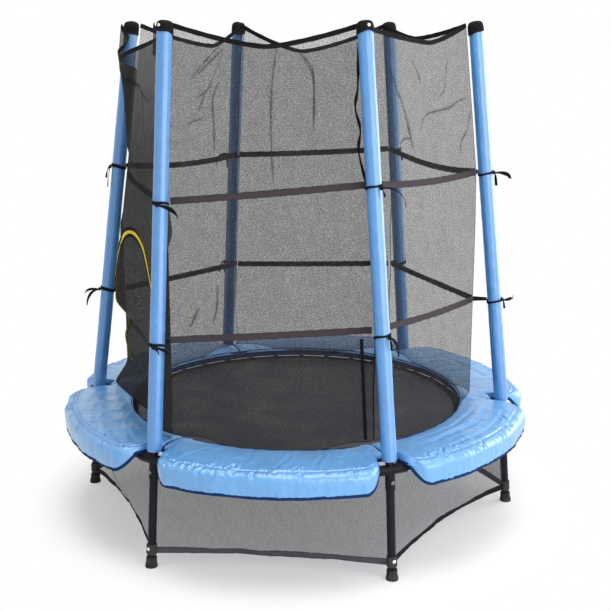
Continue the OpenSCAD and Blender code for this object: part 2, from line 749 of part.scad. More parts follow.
module skirt_panels() {
    color(mesh_grey) for (k = all_sides)
        net_strip(k, [for (u = SKIRT_COLS) [for (t = SKIRT_ROWS) skirt_point(k, u, t)]], -net_t / 2, net_t);
}

module skirt_hem() {
    color(web_black) for (k = all_sides)
        net_strip(k, [for (u = SKIRT_COLS) [for (t = [0, hem_share]) skirt_point(k, u, t)]],
                  net_t / 2 + layer_gap, web_t);
}

module leg_loop(k) {
    color(web_black) aim(leg_at(k, skirt_z - 4), ring_point(k)) difference() {
        cylinder(d = loop_d, h = loop_h);
        translate([0, 0, -cut]) cylinder(d = loop_bore, h = loop_h + 2 * cut);
    }
}

module loop_rivet(k) {
    z = skirt_z + loop_h / 2;
    color(zinc) translate(leg_at(k, z)) rotate([0, 0, k * step]) rotate([0, 90, 0])
        translate([0, 0, loop_d / 2 + 0.6]) cylinder(d = rivet_d, h = 1.6);
}

// ---- Assembly ----

for (k = all_sides) {
    t_joint(k);
    leg(k);
    frame_rail(k);
    foam_sleeve(k);
    spring_pad(k);
    net_panel(k);
    rubber_foot(k);  // rubber_feet
    joint_bolt(k);  // joint_bolts
    lower_pole_tube(k);  // lower_pole_tubes
    upper_pole_tube(k);  // upper_pole_tubes
    pole_cap(k);  // pole_caps
    cap_screw(k);  // cap_screws
    tie(k, upper_z[k], 20);  // upper_ties
    tie(k, lower_z[k], 20);  // lower_ties
    leg_loop(k);  // leg_loops
    loop_rivet(k);  // loop_rivets
}
jumping_mat();
mat_hem();
mat_rings();
springs();
net_top_binding();
band(upper_z, all_sides);  // upper_band
/* lower_band */ band(lower_z, [for (k = all_sides) if (k != DOOR) k]);
door_flap();
flap_zip_tape();
frame_zip_tape();
zip_slider();
zip_pull();
skirt_panels();
skirt_hem();
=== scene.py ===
"""Looks of a round six-pole trampoline with a safety net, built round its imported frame."""

import math

import bmesh
import bpy
import numpy as np
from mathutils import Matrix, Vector


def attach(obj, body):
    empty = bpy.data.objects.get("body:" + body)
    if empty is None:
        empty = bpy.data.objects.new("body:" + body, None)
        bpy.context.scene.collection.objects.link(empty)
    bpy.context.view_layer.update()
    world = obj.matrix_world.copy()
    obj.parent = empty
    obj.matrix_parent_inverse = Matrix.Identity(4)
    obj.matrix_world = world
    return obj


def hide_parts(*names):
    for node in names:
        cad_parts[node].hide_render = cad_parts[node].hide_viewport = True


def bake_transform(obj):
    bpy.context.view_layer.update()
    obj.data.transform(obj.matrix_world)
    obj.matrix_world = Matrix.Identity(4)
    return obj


bl_info = {
    "name": "Netted trampoline",
    "version": (1, 0, 0),
    "blender": (4, 5, 0),
    "location": "View3D > Sidebar > Trampoline",
    "description": "Dresses a six-pole trampoline: vinyl spring cover, safety net, zipped door and skirt",
    "category": "Mesh",
}

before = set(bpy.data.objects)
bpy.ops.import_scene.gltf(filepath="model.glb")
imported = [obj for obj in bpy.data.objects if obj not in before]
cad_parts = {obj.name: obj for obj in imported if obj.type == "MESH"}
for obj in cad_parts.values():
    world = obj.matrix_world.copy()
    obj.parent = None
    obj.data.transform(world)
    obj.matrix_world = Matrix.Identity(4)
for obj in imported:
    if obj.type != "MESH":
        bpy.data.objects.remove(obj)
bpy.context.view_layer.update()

# ---- Driving sizes, in metres, as the frame has them ----

MM = 0.001
STEP = math.radians(60)
CORNERS = ("right", "back_right", "back_left", "left", "front_left", "front_right")
SIDES = ("right_back", "back", "left_back", "left_front", "front", "right_front")
DOOR = SIDES.index("left_front")
FRONT = SIDES.index("front")
UP = np.array([0.0, 0.0, 1.0])

RING_R, RING_Z, TUBE_D = 0.690, 0.330, 0.025
CROSS_D = 0.030
FOOT_R = 0.716
POLE_TOP_R, POLE_TOP_Z = 0.548, 1.556
# How far each pole's top leans out and round, in millimetres
LEANS = ((15, 2), (0, 0), (-4, -9), (-18, -2), (19, -26), (-9, -21))
SLEEVE_D, SLEEVE_LIFT = 0.047, 0.025

MAT_R, MAT_Z, MAT_T = 0.555, 0.324, 0.002
HEM_W, WEB_T = 0.024, 0.0016
TAB_W, TAB_H, TAB_LAP, TAB_BEND = 0.014, 0.0064, 0.022, 0.0024
SPRING_D, WIRE_D, HOOK_L = 0.014, 0.0026, 0.014
SPRINGS_A_SIDE = 6
BOW_OUT_R = MAT_R + TAB_H / 2 + 0.009 + WIRE_D
RAIL_FACE_R = RING_R - math.sqrt((TUBE_D / 2) ** 2 - (0.006 - WIRE_D / 2) ** 2)

PAD_IN_R, PAD_OUT_R, NOTCH_R = RING_R - 0.140, RING_R + 0.077, RING_R - 0.035
PAD_BASE_Z = RING_Z + CROSS_D / 2 + 0.0003
PAD_T, PAD_FLAP, NOTCH_W, PAD_END_R = 0.025, 0.052, 0.070, 0.062
FLAP_R = RING_R + CROSS_D / 2 + 0.017

NET_R, NET_STRAIGHT_Z, NET_T = 0.582, 0.940, 0.0012
NET_GAP, NET_BELLY, NET_HEM = 0.006, 0.038, 0.004
# The door's side stands out at its foot below a height
KICK_OUT, KICK_Z, KICK_RISE = 0.046, 0.46, 0.09
# Its upper corners are folded round the pole on the left and the cap on the right, over a share of the side
WRAP_OUT, WRAP_ASIDE, WRAP_Z = 0.055, 0.030, 1.43
CAP_OUT, CAP_ASIDE, CAP_Z, CAP_SHARE = 0.046, 0.024, 1.45, 0.16
# The corner between it and the front is pulled out to its pole and behind it
PULL_ASIDE, PULL_GAP = 0.028, 0.007
# How far the net's folds and its small creases stand out
FOLD_OUT, CREASE_OUT = 0.013, 0.004
NET_BASE_Z = PAD_BASE_Z + PAD_T + 0.002
NET_TOP_Z = POLE_TOP_Z + 0.004
NET_APOTHEM = NET_R * math.cos(STEP / 2)
BAND_W, BINDING_W, BINDING_T, LAYER_GAP = 0.020, 0.014, 0.003, 0.0005
# The heights of the ties on each pole
UPPER_Z = (1.115, 1.135, 1.106, 1.120, 1.078, 1.134)
LOWER_Z = (0.700, 0.709, 0.693, 0.705, 0.672, 0.718)
# How deep the upper edge of each side sags and where along it, and how deep its bands sag
SAGS = ((0.042, 0.6), (0.088, 0.57), (0.068, 0.3), (0.098, 0.25), (0.058, 0.5), (0.050, 0.62))
UPPER_SAGS = (0.020, 0.004, 0.016, 0.022, 0.002, 0.013)
LOWER_SAGS = (0.004, 0.003, 0.004, 0.0, 0.001, 0.006)

DOOR_Z, ZIP_LEFT, ZIP_RIGHT, ARCH_RISE, ARCH_R = 0.470, 0.228, 0.205, 0.338, 0.118
ARCH_X, ARCH_Z = ARCH_R - ZIP_LEFT, DOOR_Z + ARCH_RISE
ARCH_ASIDE = ZIP_RIGHT - ARCH_X
LEG_LEAN = math.atan2(ARCH_ASIDE, ARCH_RISE) - math.asin(ARCH_R / math.hypot(ARCH_ASIDE, ARCH_RISE))
LEAN_X, LEAN_Z = math.cos(LEG_LEAN), math.sin(LEG_LEAN)
TAPE_W, TAPE_T, TAPE_LAP, HINGE_GAP, ZIP_GAP = 0.015, 0.0012, 0.008, 0.0014, 0.0008
TAPE_OUT = NET_T / 2 + LAYER_GAP
ZIP_RIB, TOOTH, TOOTH_PITCH = 0.0008, (0.0032, 0.0021, 0.0022), 0.0031
SLIDER_L, SLIDER_W, SLIDER_T, PULL_L = 0.014, 0.009, 0.004, 0.026
SLIDER_ASIDE, SLIDER_RISE = ZIP_GAP / 2 + SLIDER_W / 2 + 0.0004, 0.024
SLIDER_OUT = TAPE_OUT + TAPE_T + 0.0003
PIN_OUT = SLIDER_OUT + SLIDER_T + 0.0024

SKIRT_Z, SKIRT_RISE, SKIRT_BOW, SKIRT_HEM_W = 0.042, 0.016, 0.026, 0.020
SKIRT_TOP_Z = RING_Z - CROSS_D / 2 - LAYER_GAP
LOOP_H, LOOP_T = 0.034, 0.0024
LOOP_D = TUBE_D + 0.0006 + 2 * LOOP_T

# The stitches of each seam: length, gap and thickness
POCKET_STITCH = (0.0035, 0.0012, 0.0007)
MAT_STITCH = (0.0055, 0.0020, 0.0009)
TAB_STITCH = (0.0018, 0.0008, 0.0008)
COVER_STITCH = (0.0050, 0.0022, 0.0010)
BINDING_STITCH = (0.0045, 0.0015, 0.0008)
BAND_STITCH = (0.0042, 0.0016, 0.0008)
ZIP_STITCH = (0.0040, 0.0015, 0.0006)
SKIRT_STITCH = (0.0045, 0.0020, 0.0009)


# ---- Places ----


def turned(angle):
    return np.array([math.cos(angle), math.sin(angle), 0.0])


def turned_all(angles):
    return np.stack([np.cos(angles), np.sin(angles), np.zeros(len(angles))], axis=1)


def outward(k):
    return turned(k * STEP)


def round_way(k):
    return turned(k * STEP + math.pi / 2)


def side_out(k):
    return turned((k + 0.5) * STEP)


def side_along(k):
    return turned((k + 0.5) * STEP + math.pi / 2)


def mix(a, b, t):
    return a + (b - a) * t


def smooth(t):
    t = np.clip(t, 0.0, 1.0)
    return t * t * (3 - 2 * t)


def bell(x):
    return np.exp(-(x**2))


def full_turn(count):
    return np.linspace(0, 2 * math.pi, count, endpoint=False)


def wheel(turn, first, second):
    """Spokes of length 1 in the plane of two directions."""
    return np.cos(turn)[:, None] * first + np.sin(turn)[:, None] * second


def unit(v):
    v = np.asarray(v, float)
    return v / np.maximum(np.linalg.norm(v, axis=-1, keepdims=True), 1e-9)


def at_angle(radius, angle, z):
    radius, angle, z = np.broadcast_arrays(radius, angle, z)
    return np.stack([radius * np.cos(angle), radius * np.sin(angle), z], axis=-1)


RING_POINTS = [outward(k) * RING_R + UP * RING_Z for k in range(6)]
POLE_ENDS = [
    outward(k) * (POLE_TOP_R + LEANS[k][0] * MM) + round_way(k) * LEANS[k][1] * MM + UP * POLE_TOP_Z
    for k in range(6)
]


def pole_axis(k):
    return unit(POLE_ENDS[k] - RING_POINTS[k])


def hoop_spokes(k, axis, turn):
    """Spokes square to an axis, turning from the outer side of a corner."""
    spokes = wheel(turn, outward(k), round_way(k))
    return unit(spokes - axis * (spokes @ axis)[:, None])


def pole_at(k, z):
    t = (np.asarray(z, float) - RING_Z) / (POLE_TOP_Z - RING_Z)
    return RING_POINTS[k % 6] + t[..., None] * (POLE_ENDS[k % 6] - RING_POINTS[k % 6])


def leg_at(k, z):
    t = np.asarray(z, float) / RING_Z
    foot = outward(k) * FOOT_R
    return foot + t[..., None] * (RING_POINTS[k % 6] - foot)


def net_corner(k, z):
    """The net's corner is upright up to the door's top and then runs to its tie and up beside the sleeve."""
    z = np.asarray(z, float)
    low = at_angle(NET_R, k * STEP, z)
    if k % 6 == DOOR:
        low = low + side_out(DOOR) * (KICK_OUT * smooth((KICK_Z - z) / KICK_RISE))[..., None]
    stand = (SLEEVE_D / 2 + NET_GAP) * outward(k)
    tied_z = UPPER_Z[k % 6]
    tied = pole_at(k, np.full(z.shape, tied_z)) - stand
    tied[..., 2] = z
    share = np.clip((z - NET_STRAIGHT_Z) / (tied_z - NET_STRAIGHT_Z), 0, 1)[..., None]
    return np.where((z >= tied_z)[..., None], pole_at(k, z) - stand, mix(low, tied, share))


def band_height(heights, sags, k, s):
    return mix(heights[k], heights[(k + 1) % 6], s) - sags[k] * 4 * s * (1 - s)


def top_at(k, s):
    depth, low = SAGS[k]
    away = np.where(s < low, (low - s) / low, (s - low) / (1 - low))
    return NET_TOP_Z - depth * (1 - np.abs(away) ** (1.1 if k == DOOR else 1.4))


def base_at(k, s):
    """The lower edge tucks inside the cover between the corners."""
    base = NET_BASE_Z + 0.006 * (2 * s - 1) ** 2
    if k != DOOR:
        base = base - 0.026 * smooth((s - 0.10) / 0.24) * smooth((0.90 - s) / 0.24)
    return base


def slack_at(k, s, z):
    """How slack the net hangs: taut at its bands and its binding, loose between them."""
    low = band_height(LOWER_Z, LOWER_SAGS, k, s)
    high = band_height(UPPER_Z, UPPER_SAGS, k, s)
    top, base = top_at(k, s), base_at(k, s)
    free = 0.0 if k == DOOR else 1.0
    between = np.sin(math.pi * np.clip((z - low) / (high - low), 0, 1)) ** 0.6 * free
    under = 0.5 * free * np.sin(math.pi * np.clip((z - base) / (low - base), 0, 1))
    above = 0.9 * np.sin(math.pi * np.clip((z - high) / (top - high), 0, 1)) ** 0.5
    return np.where(z < low, under, np.where(z < high, between, above))


# How far the door's side blows out by its left zip, and by the left pole above it: heights and distances
DOOR_BULGE = (
    (0.36, 0.0), (0.42, 0.004), (0.466, 0.0), (0.474, 0.0), (0.55, 0.017), (0.595, 0.004), (0.625, 0.008),
    (0.675, 0.043), (0.715, 0.047), (0.76, 0.046), (0.82, 0.034), (0.88, 0.027), (0.93, 0.024), (1.0, 0.016),
    (1.12, 0.016), (1.19, 0.032), (1.25, 0.040), (1.35, 0.058), (1.46, 0.082), (1.5, 0.074), (1.56, 0.02),
)


def door_wave(x, z):
    """The door's side is slack: it blows out on its left, and its zip follows."""
    line = through(DOOR_BULGE, 8)
    s = x / NET_R + 0.5
    low = smooth((x + NET_R / 2) / 0.07) * smooth((0.03 - x) / 0.24)
    high = smooth(s / 0.2) * (1 - smooth((s - 0.24) / 0.76))
    return np.interp(z, line[:, 0], line[:, 1]) * mix(low, high, smooth((z - 0.98) / 0.2))


def net_at(k, s, z):
    """Points of the net on side k, at a share of the way along it and a height."""
    s, z = np.broadcast_arrays(np.asarray(s, float), np.asarray(z, float))
    flat = mix(net_corner(k, z), net_corner(k + 1, z), s[..., None])
    drop = np.clip((NET_STRAIGHT_Z - z) / (NET_STRAIGHT_Z - NET_BASE_Z), 0, 1.05)
    out = NET_BELLY * 4 * s * (1 - s) * drop**2
    if k == DOOR:
        out = door_wave((s - 0.5) * NET_R, z)
        wrap = smooth((z - WRAP_Z) / 0.03) * (1 - smooth(s / CAP_SHARE))
        flat = flat + wrap[..., None] * (side_out(k) * WRAP_OUT - side_along(k) * WRAP_ASIDE)
        round_cap = smooth((z - CAP_Z) / 0.04) * smooth((s - 0.82) / CAP_SHARE)
        flat = flat + round_cap[..., None] * (outward(k + 1) * CAP_OUT - round_way(k + 1) * CAP_ASIDE)
    if k in (DOOR, FRONT):
        beside = smooth((s - 0.90) / 0.10) if k == DOOR else 1 - smooth(s / 0.13)
        pole = pole_at(FRONT, z) @ outward(FRONT)
        pulled = beside * smooth((1.0 - z) / 0.1) * smooth((z - 0.36) / 0.06)
        reach = pulled * np.maximum(pole - SLEEVE_D / 2 - NET_R - PULL_GAP, 0)
        flat = flat + reach[..., None] * outward(FRONT) - (PULL_ASIDE * pulled)[..., None] * round_way(FRONT)
    slack = slack_at(k, s, z)
    folds = np.sin(2 * math.pi * (3 * s + 0.37 * k) + 1.22 * slack)
    out = out + FOLD_OUT * slack * np.sin(math.pi * s) * folds
    out = out + CREASE_OUT * slack * np.sin(math.pi * s) * ripple(40 + k, s * 26, z * 9)
    return flat + out[..., None] * side_out(k)


def ripple(seed, *coordinates):
    """Smooth, repeatable unevenness from about -1 to 1."""
    seeded = np.random.default_rng(seed)
    total = 0.0
    for octave in range(5):
        ways = unit(seeded.normal(size=len(coordinates)))
        phase = seeded.uniform(0, 2 * math.pi)
        wave = sum(w * c for w, c in zip(ways, coordinates))
        total = total + np.sin(1.75**octave * wave * 1.6 + phase) / (1 + 0.8 * octave)
    return total / 2.2


# ---- Meshes ----


class Maker:
    """Gathers the quads of one piece, with surface coordinates in metres for its weave."""

    def __init__(self):
        self.points, self.faces, self.uvs, self.marks, self.count = [], [], [], [], 0

    def grid(self, points, wrap_rows=False, wrap_cols=False, mark=0):
        """Quads between rows of points. Wrapping joins the last row or column to the first."""
        points = np.asarray(points, float)
        index = self.count + np.arange(points[..., 0].size).reshape(points.shape[:2])
        closed, numbers = points, index
        for axis, wrap, first in ((1, wrap_cols, np.s_[:, :1]), (0, wrap_rows, np.s_[:1])):
            if wrap:
                closed = np.concatenate([closed, closed[first]], axis=axis)
                numbers = np.concatenate([numbers, numbers[first]], axis=axis)
        steps = (np.linalg.norm(np.diff(closed, axis=axis), axis=2).mean(axis=1 - axis) for axis in (1, 0))
        uv = np.stack(np.meshgrid(*(np.append(0, np.cumsum(far)) for far in steps)), axis=-1)
        corners = [np.s_[:-1, :-1], np.s_[:-1, 1:], np.s_[1:, 1:], np.s_[1:, :-1]]
        self.faces += np.stack([numbers[c].ravel() for c in corners], axis=1).tolist()
        self.uvs.append(np.stack([uv[c].reshape(-1, 2) for c in corners], axis=1).reshape(-1, 2))
        self.marks += [mark] * ((numbers.shape[0] - 1) * (numbers.shape[1] - 1))
        self.points.append(points.reshape(-1, 3))
        self.count += index.size
        return index

    def cap(self, ring, mark=0):
        """Closes a hole with one face, from the numbers of its points in order."""
        self.faces.append([int(i) for i in ring])
        self.uvs.append(np.zeros((len(ring), 2)))
        self.marks.append(mark)

    def sweep(self, path, side, section, mark=0, closed=False):
        """Carries a section for each point along a path. `side` is where its first axis points."""
        path = np.asarray(path, float)
        along = np.roll(path, -1, axis=0) - np.roll(path, 1, axis=0) if closed else np.gradient(path, axis=0)
        normal = unit(np.cross(along, np.broadcast_to(side, path.shape)))
        side = unit(np.cross(normal, along))
        rows = path[:, None] + side[:, None] * section[..., :1] + normal[:, None] * section[..., 1:]
        index = self.grid(rows, wrap_rows=closed, wrap_cols=True, mark=mark)
        if not closed:
            self.cap(index[0], mark)
            self.cap(index[-1], mark)
        return index

    def strap(self, path, side, width, thick, mark=0, closed=False):
        """A flat strap with soft edges."""
        width = np.broadcast_to(width, (len(path),))
        half = [(-1, -0.4), (-0.95, -1), (-0.5, -1.05), (0, -1), (0.5, -1.05), (0.95, -1), (1, -0.4)]
        shape = np.array(half + [(-x, -y) for x, y in half])
        section = shape[None] * np.stack([width / 2, np.full(len(path), thick / 2)], axis=1)[:, None]
        return self.sweep(path, side, section, mark, closed)

    def tube(self, path, radius, sides=8, mark=0, closed=False, side=None):
        """A round wire or roll. Without a side, its section keeps from twisting along the path."""
        path = np.asarray(path, float)
        if side is None:
            along = unit(np.gradient(path, axis=0))
            now = unit(np.cross(along[0], [0.31, 0.17, 0.94]))
            side = np.empty_like(path)
            for i, way in enumerate(along):
                now = unit(now - way * (now @ way))
                side[i] = now
        radius = np.broadcast_to(radius, (len(path),))[:, None]
        turn = full_turn(sides)
        section = np.stack([np.cos(turn) * radius, np.sin(turn) * radius], axis=-1)
        return self.sweep(path, side, section, mark, closed)

    def lathe(self, profile, base, axis, sides, shift=None):
        """Turns a closed profile of radius and height pairs round an axis."""
        axis = unit(axis)
        first = unit(np.cross(axis, [0.0, 1.0, 0.0] if abs(axis[1]) < 0.9 else [1.0, 0.0, 0.0]))
        spoke = wheel(full_turn(sides), first, np.cross(axis, first))
        profile = np.asarray(profile, float)
        points = base + profile[:, 0, None, None] * spoke + profile[:, 1, None, None] * axis
        if shift is not None:
            points = points + shift(profile, spoke)
        return self.grid(points, wrap_rows=True, wrap_cols=True)

    def stitches(self, path, lift, stitch, mark=1):
        """A row of sewing thread along a path: each stitch is a short raised loop."""
        length, gap, thick = stitch
        path = resample(path, length + gap)
        for a, b in zip(path[:-1], path[1:]):
            way = unit(b - a)
            ends = [a + way * gap / 2, (a + b) / 2 + lift * thick * 0.6, b - way * gap / 2]
            radii = [thick * 0.35, thick * 0.5, thick * 0.35]
            self.tube(ends, radii, sides=5, mark=mark, side=np.cross(way, lift))

    def edge_seams(self, path, side, inset, lift, stitch):
        """A seam on both sides of a path, on the face towards a lift."""
        for edge in (-1, 1):
            self.stitches(path + side * (edge * inset) + lift, unit(lift), stitch)

    def box(self, place, size, mark=0):
        """A small block, on a 4 by 4 placing matrix."""
        foot = ((-0.5, -0.5), (0.5, -0.5), (0.5, 0.5), (-0.5, 0.5))
        shape = np.array([(x, y, z) for z in (-0.5, 0.5) for x, y in foot])
        points = (shape * size) @ place[:3, :3].T + place[:3, 3]
        index = self.grid(points.reshape(2, 4, 3), wrap_cols=True, mark=mark)
        self.cap(index[0], mark)
        self.cap(index[1][::-1], mark)

    def cloth(self, name, finishes, **more):
        """A piece without a thickness of its own, smooth all over."""
        return self.piece(name, finishes, solid=False, crease=180, **more)

    def piece(self, name, finishes, body="root", slot=None, stands_for=(), solid=True, crease=40):
        """Makes the object, gives it its finishes and rides it on its body."""
        mesh = bpy.data.meshes.new(name)
        mesh.from_pydata(np.concatenate(self.points).tolist(), [], self.faces)
        mesh.uv_layers.new(name="metres").data.foreach_set("uv", np.concatenate(self.uvs).ravel())
        mesh.polygons.foreach_set("material_index", self.marks)
        for finish in [finishes] if isinstance(finishes, str) else finishes:
            mesh.materials.append(finish_of(finish))
        if solid:
            shape = bmesh.new()
            shape.from_mesh(mesh)
            bmesh.ops.recalc_face_normals(shape, faces=shape.faces)
            shape.to_mesh(mesh)
            shape.free()
        mesh.shade_smooth()
        mesh.set_sharp_from_angle(angle=math.radians(crease))
        made = in_scene(name, mesh)
        if body:
            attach(made, body)
        if stands_for:
            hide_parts(*stands_for)
        return made


def in_scene(name, data):
    made = bpy.data.objects.new(name, data)
    bpy.context.scene.collection.objects.link(made)
    return made


def resample(path, spacing):
    """The same path with points a fixed distance apart."""
    path = np.asarray(path, float)
    far = np.append(0, np.cumsum(np.linalg.norm(np.diff(path, axis=0), axis=1)))
    places = np.linspace(0, far[-1], max(2, round(far[-1] / spacing) + 1))
    return np.stack([np.interp(places, far, path[:, i]) for i in range(3)], axis=1)


def through(points, a_stretch):
    """A smooth curve through a few points."""
    points = np.asarray(points, float)
    padded = np.concatenate([[2 * points[0] - points[1]], points, [2 * points[-1] - points[-2]]])
    t = np.linspace(0, 1, a_stretch, endpoint=False)[:, None]
    curve = []
    for a, b, c, d in zip(padded, padded[1:], padded[2:], padded[3:]):
        square, cube = 2 * a - 5 * b + 4 * c - d, 3 * b - a - 3 * c + d
        curve.append(0.5 * (2 * b + (c - a) * t + square * t**2 + cube * t**3))
    return np.concatenate(curve + [points[-1:]])


# ---- Materials ----


def srgb(*channels):
    """A linear colour from the 0 to 255 values of a screen."""
    return tuple(c / 255 / 12.92 if c <= 10 else ((c / 255 + 0.055) / 1.055) ** 2.4 for c in channels)


class Signal:
    """A number inside a material, which Python's operators work on."""

    def __init__(self, paint, socket):
        self.paint, self.socket = paint, socket

    def _math(self, operation, *values):
        return self.paint.node("ShaderNodeMath", {"operation": operation}, dict(enumerate(values)))

    def __add__(self, other):
        return self._math("ADD", self, other)

    def __sub__(self, other):
        return self._math("SUBTRACT", self, other)

    def __rsub__(self, other):
        return self._math("SUBTRACT", other, self)

    def __mul__(self, other):
        return self._math("MULTIPLY", self, other)

    def sine(self):
        return self._math("SINE", self)

    def larger(self, other):
        return self._math("MAXIMUM", self, other)

    def clamp(self):
        return self.paint.node("ShaderNodeClamp", {}, {0: self})


class Paint:
    """One material, or the world, built from nodes."""

    def __init__(self, owner):
        owner.use_nodes = True
        self.tree = owner.node_tree
        self.tree.nodes.clear()

    def node(self, kind, settings=None, sockets=None, output=0):
        """A new node with its settings and inputs; the answer is one of its outputs."""
        made = self.tree.nodes.new(kind)
        for setting, value in (settings or {}).items():
            setattr(made, setting, value)
        for socket, value in (sockets or {}).items():
            if isinstance(value, Signal):
                self.tree.links.new(value.socket, made.inputs[socket])
            else:
                if isinstance(value, tuple) and len(value) == 3 and made.inputs[socket].type == "RGBA":
                    value = (*value, 1)
                made.inputs[socket].default_value = value
        return Signal(self, made.outputs[output]) if made.outputs else None

    def place(self):
        return self.node("ShaderNodeTexCoord", output="Object")

    def woven(self):
        """Surface coordinates in metres, together and as two numbers."""
        at = self.node("ShaderNodeUVMap", {"uv_map": "metres"})
        return at, self.axis(at, "X"), self.axis(at, "Y")

    def axis(self, vector, letter):
        return self.node("ShaderNodeSeparateXYZ", {}, {0: vector}, letter)

    def noise(self, scale, detail=3.0, rough=0.5, at=None):
        sockets = {"Vector": at or self.place(), "Scale": scale, "Detail": detail, "Roughness": rough}
        return self.node("ShaderNodeTexNoise", {}, sockets)

    def blend(self, share, a, b):
        return self.node("ShaderNodeMix", {"data_type": "RGBA"}, {0: share, 6: a, 7: b}, 2)

    def fade(self, signal, low, high, to_low=0.0, to_high=1.0):
        """Maps a range of a signal to another range, and holds it there beyond."""
        return self.node("ShaderNodeMapRange", {}, {0: signal, 1: low, 2: high, 3: to_low, 4: to_high})

    def rough(self, noise, smoothest, roughest):
        """Roughness that follows a noise, most of which lies between 0.3 and 0.7."""
        return self.fade(noise, 0.3, 0.7, smoothest, roughest)

    def bump(self, height, distance):
        return self.node("ShaderNodeBump", {}, {"Height": height, "Distance": distance})

    def close(self, **sockets):
        """Ends the material with a Principled shader."""
        named = {name.replace("_", " "): value for name, value in sockets.items()}
        self.node("ShaderNodeOutputMaterial", {}, {0: self.node("ShaderNodeBsdfPrincipled", {}, named)})


def sizes():
    return bpy.context.scene.trampoline_sizes


def colour_of(name):
    return tuple(getattr(bpy.context.scene.trampoline_colours, name))


def shaded(colour, factor):
    return tuple(c * factor for c in colour)


def powder_coat(paint):
    """Dark charcoal powder coat with a fine orange peel."""
    base = colour_of("steel")
    peel = paint.noise(900, 2)
    drift = paint.noise(14, 3)
    paint.close(
        Base_Color=paint.blend(drift, shaded(base, 0.75), shaded(base, 1.3)),
        Roughness=paint.rough(drift, 0.34, 0.48),
        IOR=1.2,
        Normal=paint.bump(peel, 0.00003),
    )


def black_rubber(paint):
    """Matt rubber with dust on it."""
    grain = paint.noise(700, 4, 0.6)
    dust = paint.noise(30, 4)
    paint.close(
        Base_Color=paint.blend(paint.fade(dust, 0.45, 0.8), srgb(44, 43, 46), srgb(74, 71, 70)),
        Roughness=paint.rough(grain, 0.62, 0.85),
        IOR=1.2,
        Normal=paint.bump(grain, 0.00006),
    )


def zinc_plate(paint):
    """Bright zinc with fine scratches."""
    tint = paint.noise(60, 3)
    scratches = paint.noise(900, 2)
    paint.close(
        Base_Color=paint.blend(tint, srgb(104, 105, 110), srgb(138, 138, 136)),
        Metallic=1.0,
        Roughness=paint.rough(tint * 0.6 + scratches * 0.4, 0.24, 0.45),
        Normal=paint.bump(scratches, 0.00003),
    )


def foam_cover(paint):
    """Blue foam tube in a thin shiny skin, scuffed paler in places."""
    base = colour_of("foam")
    mottle = paint.noise(22, 4, 0.6)
    pores = paint.node("ShaderNodeTexVoronoi", {}, {"Vector": paint.place(), "Scale": 520.0})
    streak = paint.noise(160, 2)
    tone = paint.blend(paint.fade(mottle, 0.35, 0.7), shaded(base, 0.90), shaded(base, 1.06))
    paint.close(
        Base_Color=paint.blend(paint.fade(streak, 0.62, 0.8, 0.0, 0.25), tone, srgb(150, 192, 236)),
        Roughness=paint.rough(mottle, 0.34, 0.44),
        Specular_IOR_Level=0.9,
        Coat_Weight=0.6,
        Coat_Roughness=0.4,
        Coat_IOR=1.6,
        Normal=paint.bump(pores + streak * 0.8, 0.00006),
    )


def cover_vinyl(paint):
    """Laminated vinyl: glossy, with the scrim's faint square weave and scuffed high spots."""
    base = colour_of("vinyl")
    _, u, v = paint.woven()
    scrim_turn = 2 * math.pi / sizes().scrim_pitch
    scrim = (u * scrim_turn).sine() * 0.5 + (v * scrim_turn).sine() * 0.5
    clouds = paint.noise(9, 4, 0.55)
    crumple = paint.noise(55, 4, 0.6)
    paint.close(
        Base_Color=paint.blend(
            paint.fade(clouds * 0.6 + crumple * 0.4, 0.38, 0.66), shaded(base, 0.90), shaded(base, 1.10)
        ),
        Roughness=paint.fade(crumple, 0.3, 0.75, 0.28, 0.46),
        Specular_IOR_Level=0.8,
        Coat_Weight=0.8,
        Coat_Roughness=0.36,
        Coat_IOR=1.6,
        Normal=paint.bump(scrim * 0.05 + crumple, 0.0009),
    )


def webbing(paint, base, pitch, rough):
    """Ribbed tape: rows of twill across it, with a little fluff."""
    _, u, v = paint.woven()
    ribs = (v * (2 * math.pi / pitch)).sine()
    twill = ((u + v) * (2 * math.pi / pitch / 1.4)).sine()
    fluff = paint.noise(400, 3)
    relief = ribs * 0.35 + twill * 0.3 + fluff * 0.5
    paint.close(
        Base_Color=paint.blend(paint.fade(relief, -0.4, 1.0), shaded(base, 0.6), shaded(base, 1.5)),
        Roughness=paint.rough(fluff, rough - 0.08, rough + 0.1),
        IOR=1.15,
        Normal=paint.bump(relief, 0.00012),
    )


def mat_weave(paint):
    """Tightly woven black polypropylene with a satin slip on its yarns."""
    at = paint.place()
    x, y = paint.axis(at, "X"), paint.axis(at, "Y")
    yarn_turn = 2 * math.pi / sizes().mat_pitch
    relief = (x * yarn_turn).sine() * (y * yarn_turn).sine()
    wear = paint.noise(6, 5, 0.6)
    dust = paint.noise(70, 3)
    base = colour_of("mat")
    trodden = paint.fade(wear * 0.75 + dust * 0.25, 0.46, 0.66)
    paint.close(
        Base_Color=paint.blend(trodden, shaded(base, 0.8), srgb(86, 80, 78)),
        Roughness=paint.fade(relief, -1.0, 1.0, 0.36, 0.54),
        IOR=1.35,
        Normal=paint.bump(relief * 0.3 + dust, 0.0003),
    )


